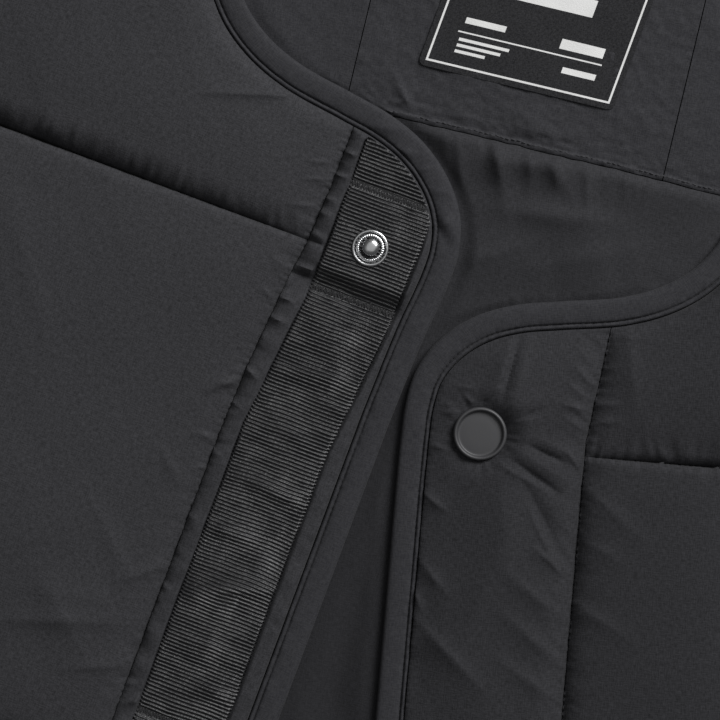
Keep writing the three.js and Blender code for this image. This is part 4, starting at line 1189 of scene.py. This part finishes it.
def snap_tape():
    """Rows at constant v, cut short at the top by the binding's curve. A rib is |sin| to the power
    1.5, so that its top is narrow and the groove beside it is deep and dark."""
    side = SIDES["right"]
    cut_w = spaced((side["neck_w"], side["corner_w"] + 30, 0.5))
    cut_u, cut_v = inset(side["edge"], cut_w, BINDING_WIDTH + 2 * SEAM_GAP)
    top_v = crossing(cut_v[::-1], (cut_u - tape_left(cut_v) - 0.8)[::-1])
    foot_v = side["hem_v"] + 2
    v = spaced((top_v, -170, RIB_PITCH / 6), (-170, foot_v, RIB_PITCH / 4))
    offsets = np.array((0, 0.012, 0.03, 0.06, 0.14, 0.24, 0.34, 0.44, 0.56, 0.66, 0.76, 0.86,
                        0.94, 0.97, 0.988, 1.0))
    left = tape_left(v)
    right = np.minimum(left + TAPE_WIDTH, np.interp(-v, -cut_v, cut_u))
    right = np.where(v < 5, left + TAPE_WIDTH, right)
    wavy = 0.32 * np.cos(2 * np.pi * v / RIB_PITCH)
    u = between(left, right, offsets)
    u[:, 0] -= wavy
    u[:, -1] += wavy
    vv = np.repeat(v[:, None], len(offsets), 1)
    x, y = lay_out(side, u, vv)
    base = front_low(side, x, y, vv - side["hem_v"]) + placket_loft(side, vv) + SEAM_GAP
    under = base - tack_dip(vv)
    phase = vv / RIB_PITCH + 0.3 * uneven(u, vv, 8, 12, 141) + 0.12 * uneven(u, vv, 3, 5, 145)
    rib = RIB_HEIGHT * np.abs(np.sin(np.pi * phase)) ** 1.5
    rib *= 0.9 + 0.1 * uneven(u, vv, 6, 1.1, 144)
    end = np.minimum(offsets, 1 - offsets)[None, :] * TAPE_WIDTH
    rib = rib * np.clip(0.45 + end / 0.6, 0, 1)
    tacked = np.abs(snap_distance(vv) - TACK_FROM_SNAP) < TACK_WIDTH / 2
    rib = np.where(tacked, 0.25 * RIB_HEIGHT, rib)
    top = base + TAPE_THICK - RIB_HEIGHT + rib + tape_lift(u, vv)
    piece = closed_skin("snap_tape_ribbed", x, y, top, under, np.stack([u, vv], -1), 5, 70)
    return finish(piece, GROSGRAIN, "tape", "snap_tape")


def tack_bars():
    """A zigzag tack across the tape above and below each snap: short stitches side by side, each
    slanting a little more or less than the last."""
    side = SIDES["right"]
    rng = np.random.default_rng(151)
    rows = np.add.outer(-SNAP_PITCH * np.arange(SNAP_COUNT), (TACK_FROM_SNAP, -TACK_FROM_SNAP)).ravel()
    across = np.arange(-TAPE_WIDTH / 2 + 0.6, TAPE_WIDTH / 2 - 0.5, 0.42)
    v = np.repeat(rows, len(across)) + rng.uniform(-0.25, 0.25, len(rows) * len(across))
    u = np.tile(across, len(rows)) + read_table(side["tape"], v) + rng.uniform(-0.1, 0.1, len(v))
    inside = u < edge_u(side, v, BINDING_WIDTH + 1.2)
    u, v = u[inside], v[inside]
    slant = np.where(np.arange(len(u)) % 2, 0.5, -0.5) + rng.uniform(-0.25, 0.25, len(u))
    x, y = lay_out(side, u, v)
    x1, y1 = lay_out(side, u + slant, v + 1)
    top = front_low(side, x, y, v - side["hem_v"]) + placket_loft(side, v) + SEAM_GAP
    top = top + TAPE_THICK - 0.75 * RIB_HEIGHT + tape_lift(u, v) + rng.uniform(0.02, 0.16, len(u))
    piece = stitches("snap_tape_tacks", np.stack([x, y, top], -1),
                     np.stack([x1 - x, y1 - y, rng.uniform(-0.2, 0.2, len(u))], -1), 1.9, 0.19)
    return finish(piece, GROSGRAIN, "tape")


snap_tape()
tack_bars()

# %% [markdown]
# ## Lining, yoke and label
#
# Thin cloth that lies on the back. A cloth simulation could lay it down. It wasn't tried: a
# height over the plan keeps every seam where the pattern has it. The cloth may only wrinkle where
# no front lies on it. Between the fronts it sags, and painted shade darkens its colour further
# down.

# %% Folds of the lining and the yoke
LINING_FOLDS = (
    (-9, -36, -13, -25, 3.4, 1.8), (2.2, -33.5, -2.6, -22.5, 3.2, 3),
    (9.6, -29, 8.2, -23, 2.4, 1.6), (20.4, -30, 13.6, -23.4, 3.6, 2.2),
    (-3, -26.6, 14, -25, 3.2, 1.6), (8, -39.6, 30, -37, 5, 3.4),
    (18, -31, 16, -23, 1.8, 0.6), (28, -34, 25, -23, 2.4, 1.2),
    (-8, -60, 14, -48, 4.5, 1.6), (22, -52, 40, -44, 5, 1.4),
)
YOKE_FOLDS = ((-34.5, -10.5, -27.4, -19.8, 1.5, 1.3), (-14, -15, -9, -17, 2.5, 0.6),
              (2, -12, 12, -14.5, 3, 0.7))


def seam_waver(x):
    """The yoke's seam isn't quite straight: it wavers by up to 0.6 mm."""
    return 0.3 * waver(x, 9, 168) + 0.28 * waver(x, 3.2, 169)


def in_sight(x, y, over=5.0):
    """0 under a front and 1 once well clear of both, so that no fold pushes into one."""
    clear = np.ones(np.shape(x))
    for side in SIDES.values():
        u, v = to_pattern(side, x, y)
        t = np.clip((u - edge_u(side, v) - 0.5) / over, 0, 1)
        clear = clear * t * t * (3 - 2 * t)
    return clear


def gap_sag(x, y):
    """Between the fronts the back lies up to 2.6 mm lower, reached from y = -55 to -105 mm."""
    return 2.6 * in_sight(x, y, 14) * ramp(-y, 55, 50)


def lining_with_painted_shade():
    """The lining reads darker between the fronts than at the neck. Part of that is painted shade:
    this change of colour from y = -45 to -110 mm, for the shade between the fronts. It is fitted,
    and it stays in any light."""
    tree = LINING_CLOTH.node_tree
    shader = tree.nodes["Principled BSDF"]
    cloth = shader.inputs["Base Color"].links[0].from_socket
    place = add_node(tree, "TexCoord").outputs["UV"]
    down = add_node(tree, "SeparateXYZ", {"Vector": place}).outputs["Y"]
    darker = add_node(tree, "MapRange", {"Value": down},
                      {"From Min": -0.045, "From Max": -0.11, "To Min": 0.0, "To Max": 0.4},
                      interpolation_type="SMOOTHSTEP").outputs["Result"]
    # Painted shade: a near-black mixed into the cloth's colour, more of it further down the gap.
    colour = mixed_colour(tree, darker, cloth, "#161618")
    tree.links.new(colour, shader.inputs["Base Color"])
    return LINING_CLOTH


def lining_x(side, y):
    """Half width of the lining: LINING_INSET inside the armhole and the side."""
    return np.minimum(outer_x(side, y, LINING_INSET),
                      outer_x(side, np.minimum(y, side["underarm_y"])) - LINING_INSET)


def back_lining():
    """A grid from the yoke's seam down to above the hem, fine where the gap shows it. It has
    folds below the seam, and is flat under the fronts."""
    seam_y = YOKE_SEAM_Y - SEAM_GAP / 2
    share = spaced((0, 0.38, 0.02), (0.38, 0.64, 0.0016), (0.64, 1, 0.02))
    down = spaced((0, 0.32, 1.4 / 590), (0.32, 1, 12 / 590))
    left, right = SIDES["right"], SIDES["left"]
    guess = seam_y + (hem_line(0.0) + LINING_ABOVE_HEM - seam_y) * down
    x0, x1 = -lining_x(left, guess), lining_x(right, guess)
    x = between(x0, x1, share)
    foot = hem_line(x) + LINING_ABOVE_HEM
    start = seam_y + seam_waver(x)
    y = start + (foot - start) * down[:, None]
    clear = in_sight(x, y)
    to_seam = start - y
    below = 0.4 + 0.6 * np.clip(to_seam / 2, 0, 1)
    lift = laid_folds(LINING_FOLDS, x, y) + 0.4 + puckers(x, to_seam, 161, 3.0, 6, 0.8)
    lift += puckers(x, to_seam, 166, 1.6, 2.5, 0.5)
    lift += 0.55 * (1 + uneven(x, y, 22, 30, 163)) + 0.15 * uneven(x + 0.5 * y, y, 7, 16, 164)
    base = LINING_Z - gap_sag(x, y)
    lift += 1.7 * bell(to_seam, 10) * in_sight(x, y, 14)
    high = base + LINING + np.maximum(clear * below * lift, -0.3)
    piece = closed_skin("back_lining_cloth", x, y, high, base, np.stack([x, y], -1), keep=30)
    return finish(piece, lining_with_painted_shade(), "lining", "back_lining")


BACK_NECK_LINE = measured(smooth_line(
    [SIDES["right"]["shoulder_neck"], *BACK_NECK, SIDES["left"]["shoulder_neck"]], 60))


def neck_y(x):
    """Height of the back neck's seam at x."""
    px, py = inset(BACK_NECK_LINE, BACK_NECK_LINE["w"], ARM_INSET)
    return np.interp(x, px, py) - SEAM_GAP / 2


def yoke(name, x_row, top_row, rows, seed):
    """A piece from the seam up to `top_row`. Its folded edge stands as a ridge at the seam, with
    the groove of the topstitching behind it."""
    low_y = YOKE_SEAM_Y + SEAM_GAP / 2
    up = spaced((0, 0.1, 0.006), (0.1, 1, 1 / rows))[:, None]
    x = np.repeat(x_row[None, :], len(up), 0)
    start = low_y + seam_waver(x)
    y = start + (top_row - start) * up
    clear = in_sight(x, y)
    to_seam = y - start
    calm = ramp(to_seam, 2, 3)
    ridge = 0.45 * np.exp(-(((to_seam - 0.7) / 0.8) ** 4))
    lift = 0.25 + ridge - 0.2 * bell(to_seam - 1.5, 0.3)
    lift += stitch_beads(x, np.abs(to_seam - 1.2), seed + 3, 1.6, 0.5, 0.35)
    lift += 0.22 * uneven(x, to_seam, 2.2, 1.5, seed + 4)
    lift += calm * (laid_folds(YOKE_FOLDS, x, y) + 0.3 * (1 + uneven(x, y, 16, 14, seed)))
    lift += puckers(x, np.maximum(to_seam - 1.6, 0), seed + 1, 2.2, 4, 0.35) * calm
    high = LINING_Z + LINING + np.maximum(clear * lift, -0.35)
    piece = closed_skin(name, x, y, high, 0 * x + LINING_Z, np.stack([x, y], -1), 5)
    return finish(piece, YOKE_CLOTH, "yoke", name.replace("_cloth", ""))


def yokes():
    """The centre piece, and one on each side that runs up to the shoulder."""
    half = YOKE_HALF - SEAM_GAP / 2
    centre = spaced((-half, half, 0.55))
    yoke("yoke_centre_cloth", centre, neck_y(centre), 72, 171)
    for name, side in SIDES.items():
        neck_x, neck_top = side["shoulder_neck"]
        by_neck, by_arm = abs(neck_x) - 12, abs(side["shoulder_arm"][0]) - LINING_INSET - 10
        reach = spaced((half + SEAM_GAP, by_neck, 1.5), (by_neck, by_arm, 5))
        x = side["sign"] * reach
        slope = shoulder_slope(side) * side["sign"]
        shoulder = neck_top + slope * (x - neck_x) - LINING_INSET - 2
        by_curve = np.minimum(neck_y(x), shoulder)
        top = np.where(np.abs(x) < by_neck + 2, by_curve, shoulder)
        yoke(f"yoke_{name}_cloth", x, top, 50, 175 + side["sign"])


def yoke_topstitches():
    """Sewn 1.2 mm above the seam, 1.6 mm to a stitch, each a little off its line."""
    x = np.arange(-52, 66, 1.6)
    rng = np.random.default_rng(178)
    x = x + rng.uniform(-0.15, 0.15, len(x))
    y = YOKE_SEAM_Y + SEAM_GAP / 2 + seam_waver(x) + 1.2 + rng.uniform(-0.1, 0.1, len(x))
    shown = in_sight(x, y) > 0.9
    x, y = x[shown], y[shown]
    slant = rng.uniform(-0.25, 0.25, len(x))
    at = np.stack([x, y, np.full(len(x), LINING_Z + LINING + 0.78)], -1)
    piece = stitches("yoke_topstitches", at, np.stack([1 + 0 * x, slant, 0 * x], -1), 1.25, 0.19)
    return finish(piece, TOPSTITCH, "yoke")


back_lining()
yokes()
yoke_topstitches()

# %% Neck label
LABEL = dict(left=-29.8, right=28.7, low=-4.5, high=36, lean=0.12, corner=2, thick=0.5)
# Woven in white: one rule, and bars where a maker would put words. Each row is a box:
# middle x, middle y, half width, half height, in mm on the label.
LABEL_BARS = (
    (-0.5, 7.6, 21.5, 0.22), (-15, 11.2, 6, 0.9), (14, 11, 6.5, 1.5),
    (-13.5, 5.4, 7.5, 0.45), (-14.5, 3.6, 6.5, 0.45), (-16.5, 1.8, 4.5, 0.45),
    (15.5, 3.6, 5, 0.9), (-0.5, 23, 14, 2.6),
)


def label_cloth():
    """Dark damask with white figures. A box's edge distance is the greater of
    |x - middle| - half width and |y - middle| - half height. The frame is where that is within a
    line's width of nought, a bar where it is below nought."""
    material = woven("damask_label_woven", "#19191b", "#343436", 0.8, 0.3, 1.0, 0.05)
    tree = material.node_tree
    shader = tree.nodes["Principled BSDF"]
    ground = shader.inputs["Base Color"].links[0].from_socket
    place = add_node(tree, "TexCoord").outputs["UV"]
    axes = add_node(tree, "SeparateXYZ", {"Vector": place})

    def box_distance(middle_x, middle_y, half_width, half_height):
        """Edge distance of one box in metres, as a node's output."""
        over = []
        for axis, middle, half in (("X", middle_x, half_width), ("Y", middle_y, half_height)):
            moved = maths(tree, "SUBTRACT", axes.outputs[axis], middle / 1000)
            over.append(maths(tree, "SUBTRACT", maths(tree, "ABSOLUTE", moved), half / 1000))
        return maths(tree, "MAXIMUM", *over)

    middle = ((LABEL["left"] + LABEL["right"]) / 2, (LABEL["low"] + LABEL["high"]) / 2)
    half = ((LABEL["right"] - LABEL["left"]) / 2 - 2.0, (LABEL["high"] - LABEL["low"]) / 2 - 2.0)
    edge = maths(tree, "ABSOLUTE", box_distance(*middle, *half))
    white = maths(tree, "LESS_THAN", edge, 0.0003)
    for bar in LABEL_BARS:
        inside = maths(tree, "LESS_THAN", box_distance(*bar), 0.0)
        white = maths(tree, "MAXIMUM", white, inside)
    colour = mixed_colour(tree, white, ground, "#dededd")
    tree.links.new(colour, shader.inputs["Base Color"])
    return material


def neck_label():
    """A woven rectangle with small round corners, pulled a little askew."""
    across = spaced((0, 1, 1 / 90))
    up = spaced((0, 0.05, 0.006), (0.05, 0.95, 0.016), (0.95, 1, 0.006))
    y = LABEL["low"] + (LABEL["high"] - LABEL["low"]) * up
    to_end = np.minimum(y - LABEL["low"], LABEL["high"] - y)
    r = LABEL["corner"]
    cut = r - np.sqrt(np.maximum(r**2 - np.maximum(r - to_end, 0) ** 2, 0))
    left, right = LABEL["left"] + cut, LABEL["right"] - cut
    x = between(left, right, across)
    yy = np.repeat(y[:, None], len(across), 1)
    uv = np.stack([x, yy], -1)
    leaning = x + LABEL["lean"] * (yy - LABEL["low"])
    high = FRONT_Z + LABEL["thick"] + 0.25 * (1 + uneven(x, yy, 18, 14, 181))
    high += 0.15 * uneven(x, yy, 6, 5, 182)
    piece = closed_skin("neck_label_woven", leaning, yy, high, 0 * x + FRONT_Z, uv, 5)
    return finish(piece, label_cloth(), "label", "neck_label")


neck_label()

# %% [markdown]
# ## The back, and the bindings behind
#
# The back lies under everything, and is seen at its edges and below the lining. So it is one plain
# padded piece, and the bindings of its neck and of all four armhole edges use the section above.


# %% Back panel
LEVEL_FROM_Y = 8.0


def shoulder_line(side, t):
    """Points of the shoulder seam at shares t of the way from the neck's binding to the arm's."""
    (neck_x, neck_top), (arm_x, arm_y) = side["shoulder_neck"], side["shoulder_arm"]
    ends = ARM_INSET / abs(arm_x - neck_x)
    along = ends + (1 - 2 * ends) * t
    return np.stack([neck_x + (arm_x - neck_x) * along, neck_top + (arm_y - neck_top) * along], -1)


def back_panel():
    """Rows run from side to side. The first ones blend from the shoulders and the neck into level
    rows, and the last ones follow the hem. It is thin at the hem and sags between the fronts."""
    total = BACK_NECK_LINE["total"]
    t = spaced((0.04, 0.96, 0.02))
    neck = np.stack(inset(BACK_NECK_LINE, t * total, ARM_INSET), -1)
    top = np.vstack([shoulder_line(SIDES["right"], spaced((1, 0.01, 0.05))), neck,
                     shoulder_line(SIDES["left"], spaced((0.01, 1, 0.05)))])
    share = (top[:, 0] - top[0, 0]) / (top[-1, 0] - top[0, 0])

    def level(y):
        """Rows at height y from side to side, with columns at the same shares as the top's."""
        left = -panel_x(SIDES["right"], y)
        right = panel_x(SIDES["left"], y)
        return between(left, right, share), np.repeat(y[:, None], len(share), 1)

    first = level(np.array([LEVEL_FROM_Y]))
    blend = spaced((0, 1, 0.05))[:-1, None]
    body = spaced((LEVEL_FROM_Y, -240, 4), (-240, -560, 8))
    body_x, body_y = level(body)
    hem = np.array((12.0, 5.0, 2.0, 0.0))
    left = -outer_x(SIDES["right"], SIDES["right"]["hem_side_y"] + hem)
    right = outer_x(SIDES["left"], SIDES["left"]["hem_side_y"] + hem)
    hem_x = between(left, right, share)
    hem_y = back_hem(hem_x) + hem[:, None]
    x = np.vstack([top[:, 0] + (first[0] - top[:, 0]) * blend, body_x, hem_x])
    y = np.vstack([top[:, 1] + (first[1] - top[:, 1]) * blend, body_y, hem_y])
    to_hem = y - back_hem(x)
    high = 2.4 + (BACK_LOFT - 0.3 - 2.4) * lofted(to_hem, 2.5, 14)
    high += np.where(to_hem < 40, 0.25 * uneven(x, y, 12, 8, 191), 0)
    low = np.where(to_hem < 3, 0.6 - 0.2 * to_hem, 0)
    high = np.maximum(high - gap_sag(x, y), low + 1.0)
    piece = closed_skin("back_padded", x, y, high, low, np.stack([x, y], -1), 24)
    return finish(piece, SHELL, "shell", "back_panel")


back_panel()


# %% Bindings of the back neck and the armholes
def neck_binding():
    """The section above, made as tall as the layers it binds, along the back of the neck."""
    band = BAND.copy()
    band[:, 1] *= (FRONT_Z - SEAM_GAP - 0.1) / 3.75
    total = BACK_NECK_LINE["total"]
    w = spaced((0, total, 1.2))
    piece = bound_edge("back_neck_bound_edge", BACK_NECK_LINE, w, 0 * w, band, 201)
    return finish(piece, BINDING_CLOTH, "binding", "back_neck_binding")


def armhole_line(side, heights):
    """Bound edge of an armhole, from the shoulder down to the underarm."""
    y = np.asarray(heights, float)
    drop = side["notch_y"] - side["underarm_y"]
    up = (y - side["notch_y"]) / (side["shoulder_arm"][1] - side["notch_y"])
    lowered = y + shoulder_slope(side) * ARM_INSET * up * up
    above = np.stack([side["sign"] * outer_x(side, y), lowered], -1)
    angle = np.arcsin(np.clip((side["notch_y"] - y) / (drop + ARM_INSET), 0, 1))
    below = np.stack([
        side["sign"] * (HALF_UNDERARM - (HALF_UNDERARM - HALF_NOTCH) * np.cos(angle)),
        side["notch_y"] - drop * np.sin(angle)], -1)
    return np.where((y >= side["notch_y"])[:, None], above, below)


def armhole_bindings(name):
    """Two bindings on one line, one on the front's edge and one on the back's below it."""
    side = SIDES[name]
    drop = side["notch_y"] - side["underarm_y"]
    top = side["shoulder_arm"][1] - shoulder_slope(side) * ARM_INSET
    angle = np.linspace(0, np.pi / 2, 90)
    heights = np.concatenate([
        spaced((top, side["notch_y"], 2.0))[:-1],
        side["notch_y"] - (drop + ARM_INSET) * np.sin(angle)])
    line = measured(armhole_line(side, heights)[::side["sign"]])
    for layer, low, tall in (("front", EDGE_Z, 3.4), ("back", 0.0, BACK_LOFT)):
        band = BAND.copy()
        band[:, 1] *= (tall - 0.15) / 3.75
        w = spaced((0, line["total"], 1.6))
        piece = bound_edge(f"{name}_armhole_{layer}_bound_edge", line, w, low + 0 * w, band,
                           210 + len(layer))
        finish(piece, BINDING_CLOTH, "binding", f"{name}_armhole_{layer}_binding")


neck_binding()
for name in SIDES:
    armhole_bindings(name)

# %% [markdown]
# ## The snaps
#
# The studs stand on the tape and the caps on the left placket. A blank is pressed in a die, so
# each is round with rolled edges, and a profile spun about its axis is enough for that.

# %% Studs and caps
STUD_PROFILE = (
    (0, 0), (5.05, 0), (5.3, 0.3), (5.38, 0.75), (5.32, 1.15), (5.12, 1.38), (4.85, 1.42),
    (4.62, 1.3), (4.5, 0.9), (4.44, 0.4), (4.3, 0.35), (4.18, 0.7), (4.0, 0.98), (3.6, 1.08),
    (3.3, 1.0), (3.1, 0.75), (2.9, 0.2), (2.3, 0.1), (1.7, 0.2), (1.5, 0.6), (1.5, 1.2),
    (1.7, 1.65), (2.1, 2.0), (2.4, 2.5), (2.46, 2.95), (2.32, 3.4), (1.92, 3.82), (1.32, 4.08),
    (0.68, 4.18), (0, 4.2),
)
CAP_PROFILE = (
    (0, 0), (6.9, 0), (7.5, 0.4), (7.78, 1.0), (7.8, 2.1), (7.7, 2.65), (7.5, 3.0),
    (7.2, 3.14), (6.95, 3.1), (6.72, 2.85), (6.5, 2.3), (6.35, 2.05), (6.1, 1.95),
    (5.6, 2.02), (3, 2.1), (0, 2.12),
)
FLUTES = 36


def stud_shape(points):
    """Flutes on the pressed collar, z + 0.08cos(36a), and a ball pulled a little to one side."""
    radius = np.hypot(points[:, 0], points[:, 1])
    angle = np.arctan2(points[:, 1], points[:, 0])
    on_collar = np.exp(-(((radius - 3.6) / 0.5) ** 4)) * (points[:, 2] > 0.1)
    points = points.copy()
    points[:, 2] += 0.08 * on_collar * np.cos(FLUTES * angle)
    lean = np.clip((points[:, 2] - 1.2) / 2.9, 0, 1) * 0.45
    towards = RIGHTWARD * 0.7 + UPWARD * 0.7
    points[:, :2] += lean[:, None] * towards
    return points


for number in range(1, SNAP_COUNT + 1):
    for kind, profile, segments, shape, material, slot_name in (
        ("stud", STUD_PROFILE, 144, stud_shape, NICKEL, "stud_metal"),
        ("cap", CAP_PROFILE, 96, None, CAP_PAINT, "cap"),
    ):
        low_corner, high_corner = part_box(f"{kind}_{number}")
        centre = np.array((low_corner + high_corner) / 2) * 1000
        centre[:2] -= SHIFT
        centre[2] = low_corner[2] * 1000
        piece = turned(f"{kind}_{number}_turned", profile, segments, centre, shape)
        finish(piece, material, slot_name, f"{kind}_{number}")

for number in range(1, SNAP_COUNT + 1):
    for node_name in (f"stud_back_{number}", f"socket_{number}"):
        mesh = nodes[node_name].data
        mesh.materials.clear()
        mesh.materials.append(NICKEL)

# %% Floor
FLOOR_HALF, FLOOR_Z = 3, -0.0005
floor_mesh = bpy.data.meshes.new("floor")
floor_signs = ((-1, -1), (1, -1), (1, 1), (-1, 1))
floor_corners = [(FLOOR_HALF * x, FLOOR_HALF * y, FLOOR_Z) for x, y in floor_signs]
floor_mesh.from_pydata(floor_corners, [], [(0, 1, 2, 3)])
floor = bpy.data.objects.new("floor", floor_mesh)
bpy.context.scene.collection.objects.link(floor)
floor_paint, _, floor_shader = new_material("painted_studio_floor", 0.8)
floor_shader.inputs["Base Color"].default_value = linear("#e8e8e6")
floor_mesh.materials.append(floor_paint)
